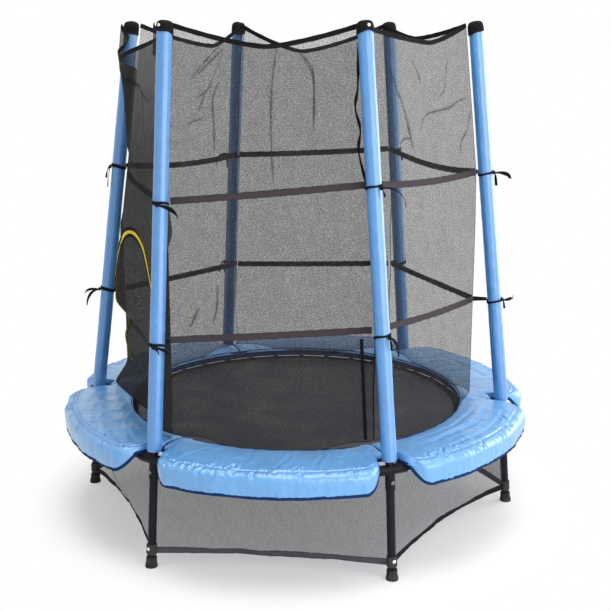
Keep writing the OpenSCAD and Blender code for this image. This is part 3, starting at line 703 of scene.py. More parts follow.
def netting(paint, base, pitch, cover, unevenness=1.0):
    """Knitted mesh: threads round offset holes, drawn closer in streaks. What isn't thread is clear."""
    at, u, v = paint.woven()
    holes = (v * (2 * math.pi / pitch / 0.85)).sine() * (u * (2 * math.pi / pitch)).sine()
    stretched = paint.node("ShaderNodeMapping", {}, {"Vector": at, "Scale": (0.45, 1.0, 1.0)})
    streaks = paint.noise(330, 2, 0.6, at=stretched)
    clouds = paint.noise(30, 3, 0.6)
    uneven = (streaks - 0.5) * (1.1 * unevenness) + (clouds - 0.5) * (0.20 * unevenness)
    paint.close(
        Base_Color=paint.blend(streaks, shaded(base, 0.7), shaded(base, 1.4)),
        Roughness=0.85,
        IOR=1.1,
        Alpha=(uneven + cover - holes * 0.16).clamp(),
        Normal=paint.bump(0 - holes, 0.0001),
    )


def door_mesh(paint):
    """The door's side, close-knitted below and more open towards its top."""
    height = paint.axis(paint.place(), "Z")
    cover = paint.fade(height, 1.12, 1.46, sizes().door_cover, sizes().door_cover - 0.17)
    return netting(paint, colour_of("net"), 0.0020, cover, 0.5)


def zip_cloth(paint):
    """The zip's ribbed tape, a little grimy."""
    base = colour_of("zip")
    _, u, _ = paint.woven()
    ribs = (u * (2 * math.pi / ZIP_RIB)).sine()
    grime = paint.noise(40, 4)
    paint.close(
        Base_Color=paint.blend(paint.fade(grime, 0.4, 0.75), base, shaded(base, 0.72)),
        Roughness=paint.rough(grime, 0.55, 0.7),
        Specular_IOR_Level=0.2,
        Normal=paint.bump(ribs + grime, 0.0001),
    )


def zip_moulding(paint):
    """Smooth plastic of the teeth, the slider and the pull."""
    base = colour_of("zip")
    wear = paint.noise(120, 3)
    paint.close(
        Base_Color=paint.blend(wear, shaded(base, 0.85), shaded(base, 1.05)),
        Roughness=paint.rough(wear, 0.28, 0.4),
        Normal=paint.bump(wear, 0.0001),
    )


def thread(paint, base):
    """Twisted sewing thread."""
    twist = paint.noise(1500, 2)
    paint.close(
        Base_Color=paint.blend(twist, shaded(base, 0.8), shaded(base, 1.3)),
        Roughness=0.6,
        Specular_IOR_Level=0.2,
        Normal=paint.bump(twist, 0.0001),
    )


def rivet_head(paint):
    """White lacquered rivet, chipped at its rim."""
    wear = paint.noise(500, 3)
    paint.close(
        Base_Color=paint.blend(paint.fade(wear, 0.6, 0.75), srgb(226, 227, 230), srgb(150, 150, 152)),
        Roughness=paint.rough(wear, 0.25, 0.4),
        Normal=paint.bump(wear, 0.0001),
    )


def net_of(pitch, cover, less=0.0):
    """A maker of safety net. Its cover is a share, or the name of a size and how much less than that."""
    return lambda paint: netting(
        paint, colour_of("net"), pitch, getattr(sizes(), cover) - less if isinstance(cover, str) else cover
    )


def tape_of(colour_name, pitch, rough):
    return lambda paint: webbing(paint, colour_of(colour_name), pitch, rough)


FINISHES = {
    "powder_coat": powder_coat,
    "black_rubber": black_rubber,
    "zinc_plate": zinc_plate,
    "foam_cover": foam_cover,
    "cover_vinyl": cover_vinyl,
    "edge_binding": tape_of("binding", 0.0011, 0.55),
    "black_webbing": tape_of("webbing", 0.0013, 0.75),
    "band_webbing": tape_of("bands", 0.0013, 0.8),
    # A paler copy of the black webbing for the skirt's front hem: painted light on the side that faces the
    # lamps
    "grey_webbing": lambda paint: webbing(paint, srgb(74, 73, 80), 0.0013, 0.75),
    "mat_weave": mat_weave,
    "safety_net": net_of(0.0022, "net_cover"),
    "open_net": net_of(0.0024, "net_cover", 0.10),
    "doubled_net": net_of(0.0022, 0.66),
    # Thin net: laid wide over each crease as painted shade, and also used for the net's rolled lower edge
    "gathered_net": net_of(0.0022, 0.20),
    "door_mesh": door_mesh,
    "skirt_net": lambda paint: netting(paint, srgb(56, 56, 60), 0.0026, sizes().skirt_cover, 0.6),
    "zip_cloth": zip_cloth,
    "zip_moulding": zip_moulding,
    "sewing_thread": lambda paint: thread(paint, srgb(70, 105, 160)),
    "black_thread": lambda paint: thread(paint, srgb(38, 38, 42)),
    "rivet_head": rivet_head,
}


def finish_of(name):
    """The material of that name, made the first time it is asked for."""
    if name not in bpy.data.materials:
        FINISHES[name](Paint(bpy.data.materials.new(name)))
    return bpy.data.materials[name]


# ---- Frame ----

NODE_FINISHES = {
    "powder_coat": (
        "t_joint", "frame_rail", "lower_pole", "upper_pole", *(f"leg_{corner}" for corner in CORNERS)
    ),
    "black_rubber": ("rubber_feet",),
    "zinc_plate": ("joint_bolts", "mat_rings"),
    "rivet_head": ("cap_screws",),
}


def dress_nodes():
    """Gives each node that stays its own finish."""
    for finish, starts in NODE_FINISHES.items():
        for name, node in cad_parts.items():
            if name.startswith(starts):
                node.data.materials.clear()
                node.data.materials.append(finish_of(finish))


# ---- Poles ----

SLEEVE_RIM, PINCH_W, SLIT_W, SLIT_DEPTH = 0.0035, 0.0032, 0.0011, 0.0016
# How deep the foam's flat sides, dents and grain are
FOAM_FLATS, FOAM_DENTS, FOAM_GRAIN = 0.0007, 0.0006, 0.0003
# The pinched rings of each sleeve: height, the way they face and depth
SLEEVE_WRINKLES = {
    "front_left": ((0.748, 0.9, 0.0010), (0.762, 1.5, 0.0014), (1.18, 0.3, 0.0010)),
    "front_right": ((0.98, -0.6, 0.0012), (0.60, 0.4, 0.0010)),
    "right": ((1.05, -1.2, 0.0012), (0.83, -0.2, 0.0010)),
    "back_right": ((0.90, 0.2, 0.0010),),
    "back_left": ((1.20, 0.5, 0.0012),),
    "left": ((0.86, -0.8, 0.0012), (1.26, 0.2, 0.0010)),
}


def foam_sleeve(k):
    """A slit foam tube, faintly ten-sided, with soft ends and a few pinched rings."""
    base, axis = RING_POINTS[k], pole_axis(k)
    low, high = SLEEVE_LIFT, np.linalg.norm(POLE_ENDS[k] - base) - 0.0005
    outer, bore, rim = SLEEVE_D / 2, TUBE_D / 2 + 0.0003, SLEEVE_RIM
    turn = np.linspace(0, math.pi / 2, 5)
    lower = np.stack([outer - rim + rim * np.sin(turn), low + rim - rim * np.cos(turn)], axis=1)
    heights = np.linspace(low + rim, high - rim, 190)[1:-1]
    upper = lower[::-1] * [1, -1] + [0, low + high]
    inner = np.array([(bore, high), (bore, (low + high) / 2), (bore, low)])
    profile = np.concatenate([lower, np.stack([np.full(len(heights), outer), heights], axis=1), upper, inner])
    slit_way = -0.9 if CORNERS[k] == "front_left" else math.pi

    def shift(profile, spoke):
        turn = full_turn(len(spoke))[None, :]
        height, skin = profile[:, 1:], (profile[:, :1] > bore * 1.2)
        world = np.arctan2(spoke[:, 1], spoke[:, 0])[None, :] - k * STEP
        x, y = np.cos(turn), np.sin(turn)
        change = -FOAM_FLATS * np.abs(np.sin(5 * turn + height * 0.8))
        change = change + FOAM_DENTS * (ripple(k + 1, x * 1.4, y * 1.4, height * 16) - 1)
        change = change + FOAM_GRAIN * (ripple(k + 60, x * 3, y * 3, height * 90) - 1)
        for z, way, depth in SLEEVE_WRINKLES[CORNERS[k]]:
            facing = np.clip(np.cos(world + k * STEP + math.pi / 2 - way), 0, 1) ** 0.7
            place = (height + RING_Z - z - 0.004 * np.sin(turn * 2)) / PINCH_W
            change = change - depth * facing * (bell(place) - 0.3 * bell(np.abs(place) - 2.4))
        apart = np.angle(np.exp(1j * (world - slit_way)))
        change = change - SLIT_DEPTH * bell(apart * outer / SLIT_W) * smooth((0.30 - height) / 0.2)
        return spoke[None] * (np.minimum(change, 0) * skin)[..., None]

    made = Maker()
    made.lathe(profile, base, axis, 44, shift=shift)
    piece = made.piece(f"foam_tube_{CORNERS[k]}", "foam_cover", slot="foam_sleeve",
                       stands_for=[f"foam_sleeve_{CORNERS[k]}"])


POCKET_T, POCKET_DROP, POCKET_SLANT = 0.0009, 0.012, -0.006
POCKET_CRUMPLE, POCKET_LUMPS = 0.0007, 0.0012


def pocket_slant(k, inwards, turn):
    """How far the pocket's hem hangs from square, by how much it faces the net."""
    return inwards + 0.25 * np.sin(3 * turn + k)


def pole_pocket(k):
    """A fabric pocket over the pole's end, its hem cut on a slant towards the net."""
    end, axis = POLE_ENDS[k], pole_axis(k)
    inner, wall, drop = SLEEVE_D / 2 + 0.0002, POCKET_T, POCKET_DROP
    foot = [(inner + wall, -drop), (inner + wall, -drop / 2), (inner + wall, 0.006)]
    dome = [(inner - 0.0004, 0.0135), (inner - 0.0035, 0.0195), (inner - 0.011, 0.0232), (0.0006, 0.0245)]
    skin = through(foot + dome, 5)
    lining = skin[::-1] - [wall, 0]
    lining[:, 0] = np.maximum(lining[:, 0], 0.0004)
    lining[: len(skin) // 2, 1] -= wall
    profile = np.concatenate([skin, lining])

    def shift(profile, spoke):
        turn = full_turn(len(spoke))[None, :]
        inwards = -(spoke @ outward(k))[None, :]
        hem = np.clip(-profile[:, 1:] / drop, 0, 1)
        slant = POCKET_SLANT * hem * pocket_slant(k, inwards, turn)
        x, y = np.cos(turn), np.sin(turn)
        crumple = POCKET_CRUMPLE * ripple(80 + k, x * 3, y * 3, profile[:, 1:] * 120)
        high = np.clip(profile[:, 1:] / 0.02, 0, 1)
        lift = slant + POCKET_LUMPS * high * ripple(90 + k, x * 2, y * 2)
        return spoke[None] * (crumple * (profile[:, :1] > 0.004))[..., None] + axis * lift[..., None]

    made = Maker()
    made.lathe(profile, end, axis, 40, shift=shift)
    turn = np.linspace(0, 2 * math.pi, 41)
    first = unit(np.cross(axis, [0, 1, 0]))
    spokes = wheel(turn, first, np.cross(axis, first))
    slant = POCKET_SLANT * pocket_slant(k, -(spokes @ outward(k)), turn)
    seam = end + spokes * (inner + wall + 0.0003) + axis * (slant - drop + 0.004)[:, None]
    made.stitches(seam, axis, POCKET_STITCH)
    made.piece(f"pole_pocket_{CORNERS[k]}", ["black_webbing", "black_thread"], slot="webbing",
               stands_for=["pole_caps"])


# ---- Mat and springs ----


MAT_SPOKES, MAT_SAG, MAT_WAVES, TAB_T = 168, 0.005, 0.0009, 0.0014


def jumping_mat():
    """The woven mat, which hangs a few millimetres in its middle."""
    radii = (MAT_R - 0.0003) * np.linspace(0.004, 1, 46) ** 0.8
    turn = full_turn(MAT_SPOKES)
    sag = -MAT_SAG * (1 - (radii / MAT_R) ** 2)
    points = at_angle(radii[:, None], turn[None, :], (MAT_Z + sag)[:, None])
    x, y = points[..., 0], points[..., 1]
    points[..., 2] += MAT_WAVES * ripple(7, x * 9, y * 9) * (1 - radii[:, None] / MAT_R)
    made = Maker()
    top = made.grid(points + UP * MAT_T / 2, wrap_cols=True)
    under = made.grid(points - UP * MAT_T / 2, wrap_cols=True)
    for a, b in zip(range(MAT_SPOKES), np.roll(range(MAT_SPOKES), -1)):
        made.cap([top[-1][a], top[-1][b], under[-1][b], under[-1][a]])
    made.cap(top[0])
    made.cap(under[0][::-1])
    return made.piece("mat_cloth", "mat_weave", body="mat", slot="jumping_mat", stands_for=["jumping_mat"])


def mat_hem():
    """Doubled webbing round the mat, two seams in it, and a tab round the straight side of each ring."""
    made = Maker()
    turn = full_turn(240)
    lie = MAT_Z + MAT_T / 2 + WEB_T / 2
    wave = 0.0003 * ripple(11, np.cos(turn) * 20, np.sin(turn) * 20)
    made.strap(at_angle(MAT_R - HEM_W / 2, turn, lie + wave), turned_all(turn), HEM_W, WEB_T, closed=True)
    for radius in (MAT_R - 0.003, MAT_R - HEM_W + 0.003):
        row = at_angle(radius, np.append(turn, 2 * math.pi), lie + WEB_T / 2)
        made.stitches(row, UP, MAT_STITCH)
    for i in range(6 * SPRINGS_A_SIDE):
        angle = (i + 0.5) * STEP / SPRINGS_A_SIDE
        way, across = turned(angle), turned(angle + math.pi / 2)
        fold = np.linspace(-math.pi / 2, math.pi / 2, 9)
        bow = [(TAB_H / 2 + TAB_BEND * math.cos(a), TAB_BEND * math.sin(a)) for a in fold[::-1]]
        loop = [(-TAB_LAP, 0.0034), *bow, (-TAB_LAP, -0.0018)]
        path = [way * (MAT_R + r) + UP * (MAT_Z + z) for r, z in loop]
        made.strap(path, across, TAB_W, TAB_T)
        for r in (-0.006, -0.018):
            row = [way * (MAT_R + r) + across * t + UP * (MAT_Z + 0.0042) for t in (-0.0055, 0.0055)]
            made.stitches(row, UP, TAB_STITCH)
    return made.piece("mat_webbing", ["black_webbing", "black_thread"], body="mat", slot="webbing",
                      stands_for=["mat_hem"])


# A spring's hooks: distances from its ends, and heights as shares of its winding
INNER_HOOK = ((0, -0.7), (-0.0005, 0.1), (0.003, 0.8), (0.008, 0.95))
OUTER_HOOK = ((-0.008, 0.95), (-0.003, 0.8), (0, 0.2), (-0.0005, -0.5))


def spring(i):
    """A close-wound spring with a hook at each end, stretched between the mat and the rail."""
    angle = (i + 0.5) * STEP / SPRINGS_A_SIDE
    way, across = turned(angle), turned(angle + math.pi / 2)
    start, end = BOW_OUT_R - WIRE_D * 0.8, RAIL_FACE_R - WIRE_D * 0.6
    coil_from, coil_to = start + HOOK_L, end - HOOK_L
    winding = (SPRING_D - WIRE_D) / 2
    turns = int((coil_to - coil_from) / (WIRE_D * 1.07))
    t = np.linspace(0, 1, turns * 9)
    around = 2 * math.pi * turns * t
    coil = np.stack([mix(coil_from, coil_to, t), winding * np.sin(around), winding * np.cos(around)], axis=1)
    inner, outer = (
        through([(at + x, 0, winding * z) for x, z in hook], 4)
        for at, hook in ((start, INNER_HOOK), (end, OUTER_HOOK))
    )
    local = np.concatenate([inner[:-1], coil, outer[1:]])
    path = local[:, :1] * way + local[:, 1:2] * across + local[:, 2:] * UP + UP * MAT_Z
    made = Maker()
    made.tube(path, WIRE_D / 2, 6)
    name = f"spring_{i + 1:02d}"
    piece = made.piece(name, "zinc_plate", body=None, slot="zinc", stands_for=["springs"], crease=70)
    fixed, moved = (tuple(way * r + UP * MAT_Z) for r in (coil_to, coil_from))
    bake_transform(piece)


# ---- Spring cover ----

# The cover's section, from its outer lip over the top and back underneath: shares across it and of its height
PAD_OUTLINE = (
    (0.985, -1), (1, -0.45), (0.992, 0.1), (0.955, 0.5), (0.87, 0.80), (0.78, 0.95), (0.55, 1), (0.27, 0.93),
    (0.07, 0.62), (0, 0.30), (0.01, 0.06), (0.07, 0), (0.27, 0), (0.55, 0), (0.79, 0), (0.9, 0.02),
    (0.95, 0.04), (0.972, -0.45), (0.965, -1),
)
PAD_STRETCH = 14
SEAM_AT, INNER_AT = 4, 9
# The seams' own shapes: how far the inner one is from the edge, then depth and width of each groove
INNER_SEAM, INNER_GROOVE, FLAP_GROOVE = 0.011, (0.0014, 0.002), (0.0026, 0.0026)
# How deep the vinyl's dents, crinkles and puckers are, and how far its flap sways
PAD_DENTS, PAD_CRINKLES, PAD_PUCKERS, PAD_SWAY = 0.0024, 0.0012, 0.0024, 0.0035
# How far along its section, how wide and how deep the open door has pressed it
DOOR_DENT = (0.23, 0.14, 0.42)

# Folds pressed into each pad: points as shares along it and across it, then depth and width
PAD_FOLDS = {
    "front": (
        (((0.54, 0.95), (0.56, 0.75), (0.59, 0.5), (0.585, 0.25)), 0.0026, 0.006),
        (((0.69, 0.97), (0.70, 0.72), (0.735, 0.45), (0.73, 0.2)), 0.0030, 0.006),
        (((0.17, 0.95), (0.18, 0.7), (0.205, 0.42), (0.25, 0.2)), 0.0022, 0.007),
        (((0.32, 1.02), (0.325, 1.15), (0.31, 1.24)), 0.0022, 0.005),
        (((0.30, 1.14), (0.34, 1.10), (0.37, 1.12)), 0.0018, 0.004),
        (((0.84, 0.9), (0.85, 0.6), (0.83, 0.35)), 0.0018, 0.007),
        (((0.40, 0.9), (0.42, 0.65), (0.41, 0.4)), 0.0014, 0.008),
    ),
    "right_front": (
        (((0.18, 0.28), (0.4, 0.33), (0.6, 0.30), (0.82, 0.34)), 0.0030, 0.008),
        (((0.15, 0.57), (0.42, 0.52), (0.65, 0.58), (0.85, 0.52)), 0.0032, 0.009),
        (((0.2, 0.82), (0.5, 0.86), (0.8, 0.80)), 0.0026, 0.007),
        (((0.36, 0.95), (0.38, 0.7), (0.35, 0.5)), 0.0018, 0.006),
    ),
    "left_front": (
        (((0.26, 0.95), (0.31, 0.6), (0.34, 0.2)), 0.0026, 0.007),
        (((0.42, 0.93), (0.46, 0.55), (0.50, 0.2)), 0.0030, 0.007),
        (((0.57, 0.95), (0.61, 0.6), (0.63, 0.25)), 0.0024, 0.006),
        (((0.73, 0.9), (0.76, 0.6), (0.80, 0.25)), 0.0026, 0.007),
    ),
    "right_back": (
        (((0.2, 0.7), (0.5, 0.6), (0.8, 0.68)), 0.0022, 0.009),
        (((0.5, 0.9), (0.52, 0.5)), 0.0018, 0.006),
    ),
    "back": (
        (((0.3, 0.9), (0.33, 0.5), (0.31, 0.2)), 0.0022, 0.007),
        (((0.62, 0.9), (0.66, 0.4)), 0.0022, 0.007),
    ),
    "left_back": (
        (((0.25, 0.85), (0.3, 0.3)), 0.0022, 0.007),
        (((0.6, 0.9), (0.64, 0.5), (0.7, 0.2)), 0.0024, 0.007),
    ),
}


def crumples(k):
    """Short creases that the seam draws in the vinyl, some of them forked."""
    deep, fine = (0.0034, 0.0042), (0.0026, 0.0036)
    drawn = np.random.default_rng(300 + k)
    folds = ()
    for start in np.sort(drawn.uniform(0.08, 0.92, 22)):
        up, reach, lean = drawn.choice([-1, 1, 1]), drawn.uniform(0.07, 0.24), drawn.uniform(-0.030, 0.030)
        root = (start, 1.0 + 0.03 * up)
        knee = (start + lean, 1.0 + up * reach * 0.55)
        folds += (((root, knee, (knee[0] - lean * 0.4, 1.0 + up * reach)), *deep),)
        if reach > 0.15:
            folds += (((knee, (knee[0] + 0.018, knee[1] + up * 0.06)), *fine),)
    return folds


def pad_reach(along, length):
    """How far the cover's outer edge is from its cut behind a pole, from 0 to 1."""
    near = np.minimum(along, length - along)
    t = np.clip((near - NOTCH_W / 2) / PAD_END_R, 0, 1)
    return np.sqrt(np.clip(1 - (1 - t) ** 2, 0, 1))


def pressed(along, across, points, depth, width):
    """A fold: a groove along a line, raised on both sides and fading at its ends."""
    line = through(points, 6)
    near, place = np.full(along.shape, 9.0), np.zeros(along.shape)
    for i, (a, b) in enumerate(zip(line[:-1], line[1:])):
        way = b - a
        t = np.clip(((along - a[0]) * way[0] + (across - a[1]) * way[1]) / (way @ way), 0, 1)
        far = np.hypot(along - a[0] - t * way[0], across - a[1] - t * way[1])
        place = np.where(far < near, (i + t) / (len(line) - 1), place)
        near = np.minimum(near, far)
    groove = -bell(near / width) + 0.5 * bell((near - 2.1 * width) / (1.2 * width))
    return depth * groove * np.sin(math.pi * np.clip(place, 0.02, 0.98)) ** 0.6


def pad_profile():
    """The pad's closed section, evenly spaced: share across, height share, distance across its skin."""
    loop = through(PAD_OUTLINE, PAD_STRETCH)
    reach, foam = PAD_OUT_R - PAD_IN_R, np.where(loop[:, 1:] > 0, PAD_T, PAD_FLAP)[:, 0]
    real = np.stack([loop[:, 0] * reach, loop[:, 1] * foam], axis=1)
    far = np.append(0, np.cumsum(np.linalg.norm(np.diff(real, axis=0), axis=1)))
    even = np.linspace(0, far[-1], 150)
    q, h = np.interp(even, far, loop[:, 0]), np.interp(even, far, loop[:, 1])
    seam = np.interp(SEAM_AT * PAD_STRETCH, np.arange(len(far)), far)
    inner = np.interp(INNER_AT * PAD_STRETCH, np.arange(len(far)), far)
    return q, h, even, seam, inner


def pad_relief(k, along, length, skin, seam, inner, hang):
    """How far the vinyl stands out or in: its waves, the puckers at its seams and its folds."""
    outer = (skin < inner)[None]
    from_inner = np.maximum(inner - skin, 0)[None]
    from_seam = np.abs(skin - seam)[None]
    top = outer & (skin >= seam)[None]
    width = inner - seam
    change = PAD_DENTS * ripple(20 + k, along * 15, from_inner * 12) * top * smooth(from_inner / 0.03)
    change = change + PAD_CRINKLES * ripple(30 + k, along * 60, from_inner * 30) * outer
    crimp = 0.45 - np.abs(ripple(50 + k, along * 150, from_seam * 22))
    gather = 0.0006 * np.sin(along * 2 * math.pi / 0.0125)
    pucker = np.exp(-from_seam / 0.018) * (PAD_PUCKERS * crimp + gather)
    depth, spread = FLAP_GROOVE
    change = change + (pucker - depth * bell(from_seam / spread)) * outer * (0.3 + 0.7 * hang)
    inner_seam = np.abs(from_inner - INNER_SEAM)
    depth, spread = INNER_GROOVE
    change = change - depth * bell(inner_seam / spread) * outer
    change = change + 0.0009 * np.exp(-inner_seam / 0.014) * ripple(55 + k, along * 200) * outer
    places = np.broadcast_arrays(along, from_inner)
    for line, depth, spread in PAD_FOLDS[SIDES[k]] + crumples(k):
        real = [(x * length, y * width) for x, y in line]
        change = change + pressed(*places, real, depth, spread) * outer
    return change


def spring_pad(k):
    """Foam over the springs in a vinyl cover, with its flap sewn on along a puckered seam."""
    side, length = SIDES[k], RING_R * STEP
    near_end = 0.0006 + (NOTCH_W / 2 + PAD_END_R) * np.linspace(0, 1, 30) ** 0.9
    middle = np.linspace(near_end[-1], length - near_end[-1], 190)[1:-1]
    along = np.concatenate([near_end, middle, length - near_end[::-1]])
    q, h, skin, seam, inner = pad_profile()
    edge = mix(NOTCH_R, PAD_OUT_R, pad_reach(along, length))[:, None]
    hang = np.clip((edge - FLAP_R) / (PAD_OUT_R - FLAP_R), 0, 1)
    ends = np.minimum(along, length - along)[:, None]
    plump = 0.62 + 0.38 * np.sqrt(np.clip(1 - (1 - np.clip(ends / 0.035, 0, 1)) ** 2, 0, 1))
    if k == DOOR:
        place, spread, depth = DOOR_DENT
        dent = bell((along[:, None] / length - place) / spread)
        plump = plump * (1 - depth * dent * smooth((q - 0.68) / 0.12))
    height = PAD_BASE_Z + np.where(h > 0, h * PAD_T * plump, h * PAD_FLAP * hang)
    angle = k * STEP + along / length * STEP
    points = at_angle(mix(PAD_IN_R, edge, q[None]), angle[:, None], height)

    change = pad_relief(k, along[:, None], length, skin, seam, inner, hang)
    sway = PAD_SWAY * ripple(70 + k, along[:, None] * 17)
    wave = sway * np.clip((seam - skin) / seam, 0, 1)[None] * hang
    under = sway * np.clip((skin - skin[-1] + seam) / seam, 0, 1)[None] * hang
    normal = unit(np.cross(np.gradient(points, axis=1), np.gradient(points, axis=0)))
    normal = normal * np.sign((normal * UP).sum(-1)[:, [len(q) // 4]])[..., None]
    way = turned_all(angle)
    points = points + normal * change[..., None] + way[:, None] * (wave + under)[..., None]

    made = Maker()
    index = made.grid(points, wrap_cols=True)
    made.cap(index[0])
    made.cap(index[-1])
    bottom = (points[:, 0] + points[:, -1]) / 2
    made.strap(bottom + UP * 0.0015, -UP, 0.0100, 0.0058, mark=1)
    lip = int(np.searchsorted(skin, inner)) + 2
    bead = points[:, lip] - way * 0.0010
    bead[:, 2] = MAT_Z + MAT_T / 2 + 0.0042 + 0.0145
    made.strap(bead, UP, 0.0280, 0.0022, mark=1)
    for end, beyond in ((0, -0.0012), (-1, 0.0012)):
        over = (points[end, : lip + 1] + unit(np.cross(UP, way[end])) * beyond)[::2]
        made.strap(over, unit(np.cross(np.gradient(over, axis=0), way[end])), 0.0060, 0.0030, mark=1)
    seam_at = int(np.searchsorted(skin, seam))
    for beside in (seam_at + 2, seam_at - 2):
        row = points[6:-6, beside] + normal[6:-6, beside] * 0.0002
        made.stitches(row, normal[len(row) // 2, beside], COVER_STITCH, mark=2)
    inside = int(np.searchsorted(skin, inner - INNER_SEAM))
    made.stitches(points[4:-4, inside], UP, COVER_STITCH, mark=2)
    name, finishes = f"cover_pad_{side}", ["cover_vinyl", "edge_binding", "sewing_thread"]
    piece = made.piece(name, finishes, slot="pad_vinyl", stands_for=[f"spring_pad_{side}"], crease=60)


# ---- Safety net ----

# Where the net lies doubled in a crease: points as shares along a side and heights
NET_CREASES = {
    "right_front": (
        ((0.411, 1.469), (0.482, 1.408), (0.534, 1.340)),
        ((0.448, 1.267), (0.546, 1.304), (0.747, 1.325), (0.894, 1.342), (0.947, 1.347)),
        ((0.302, 1.383), (0.335, 1.323), (0.365, 1.241), (0.378, 1.215)),
        ((0.221, 1.471), (0.280, 1.406), (0.306, 1.358)),
        ((0.291, 1.233), (0.320, 1.246), (0.366, 1.247)),
    ),
    "right_back": (
        ((0.214, 1.460), (0.295, 1.376), (0.390, 1.338)),
        ((0.02, 1.309), (0.077, 1.243), (0.139, 1.202), (0.149, 1.159)),
    ),
    "front": (
        ((0.280, 1.505), (0.138, 1.431)),
        ((0.256, 1.414), (0.226, 1.365), (0.231, 1.294), (0.235, 1.216)),
        ((0.558, 1.505), (0.535, 1.418), (0.525, 1.331), (0.525, 1.207), (0.531, 1.130)),
        ((0.695, 1.485), (0.743, 1.433), (0.738, 1.282)),
        ((0.217, 0.840), (0.215, 0.776), (0.192, 0.722)),
        ((0.118, 0.765), (0.092, 0.712)),
    ),
    "left_back": (
        ((0.225, 1.500), (0.363, 1.449), (0.466, 1.388)),
        ((0.167, 1.484), (0.291, 1.386), (0.347, 1.344), (0.418, 1.319)),
        ((0.352, 1.336), (0.393, 1.274)),
        ((0.358, 1.251), (0.477, 1.235)),
    ),
    "left_front": (
        ((0.10, 1.452), (0.246, 1.424), (0.42, 1.402), (0.574, 1.380), (0.70, 1.350)),
        ((0.10, 0.606), (0.25, 0.600), (0.398, 0.592), (0.461, 0.577)),
    ),
    "back": (((0.60, 1.482), (0.528, 1.423), (0.493, 1.378), (0.494, 1.310), (0.500, 1.195)),),
}

# The door's side is knitted closer than the others, and the right-hand sides are pulled more open
NET_FINISHES = {"left_front": "door_mesh", "right_front": "open_net", "right_back": "open_net"}


def net_sheet(made, k, shares, heights, mark=0, out=0.0):
    """Cloth on side k, by shares along it and heights."""
    made.grid(net_at(k, shares, heights) + side_out(k) * out, mark=mark)


def net_heights(k, s):
    """Rows from the lower edge over both bands to the upper edge, for each share along the side."""
    low, high = band_height(LOWER_Z, LOWER_SAGS, k, s), band_height(UPPER_Z, UPPER_SAGS, k, s)
    stops = [base_at(k, s), low, high, top_at(k, s) + NET_HEM]
    rows = [mix(a, b, t) for a, b, n in zip(stops, stops[1:], (40, 50, 56)) for t in np.arange(n) / n]
    return np.array(rows + [stops[-1]])


def door_share(x):
    """The share along the door's side of a place that is given in metres from its middle."""
    return 0.5 + np.asarray(x) / NET_R


def net_crease(made, k, line):
    """A crease: a narrow doubled strip of net with a broader strip of thin net over it, which is painted
    shade round the crease.
    """
    t = np.linspace(0, 1, len(line))
    way = np.gradient(line, axis=0)
    across = unit(np.stack([-way[:, 1], way[:, 0] * NET_R], axis=1))
    broad = 2.2 if k == DOOR else 1.0
    over = np.array([-1, -0.3, 0.4, 1])[:, None]
    # The second, broader strip of thin net is painted shade round the crease
    for wide, mark in ((0.0018 * broad, 1), (0.0062 * broad, 2)):
        half = wide * np.sin(math.pi * np.clip(t, 0.03, 0.97)) ** 0.5 * (1 + 0.3 * np.sin(t * 17))
        shares = line[:, 0] + across[:, 0] * half * over / NET_R
        heights = line[:, 1] + across[:, 1] * half * over
        net_sheet(made, k, shares, heights, mark=mark, out=0.0006 + mark * 0.0008)


def net_panel(k):
    """One side of the net, slack between its bands, with its doubled creases and the painted shade round
    them.
    """
    made = Maker()
    if k == DOOR:
        foot = DOOR_Z - 0.0003
        arch = arch_places(TAPE_LAP, foot)
        for edge, end in ((arch[0], -0.497), (arch[-1], 0.497)):
            s = door_share(np.linspace(edge, end * NET_R, 14))
            net_sheet(made, k, s[None], net_heights(k, s))
        s = door_share(arch)
        low = np.array([mix(base_at(k, s), foot, t) for t in np.linspace(0, 1, 18)])
        net_sheet(made, k, s[None], low)
        over = np.maximum(arch_top(arch, TAPE_LAP), foot)
        high = np.array([mix(over, top_at(k, s) + NET_HEM, t) for t in np.linspace(0, 1, 90)])
        net_sheet(made, k, s[None], high)
    else:
        s = np.linspace(0.003, 0.997, 74)
        net_sheet(made, k, s[None], net_heights(k, s))
    for crease in NET_CREASES[SIDES[k]]:
        net_crease(made, k, through(crease, 8))
    # The last finish is thin net, laid round the creases as painted shade
    finishes = [NET_FINISHES.get(SIDES[k], "safety_net"), "doubled_net", "gathered_net"]
    piece = made.cloth(f"net_{SIDES[k]}", finishes, slot="net_mesh", stands_for=[f"net_panel_{SIDES[k]}"])
    height = NET_TOP_Z - NET_BASE_Z
    NET_R * height - (doorway_area() if k == DOOR else 0)


# The rolled lower edge, and the seams at the corners
ROLL_W, ROLL_T, SEAM_W = 0.0042, 0.0014, 0.003


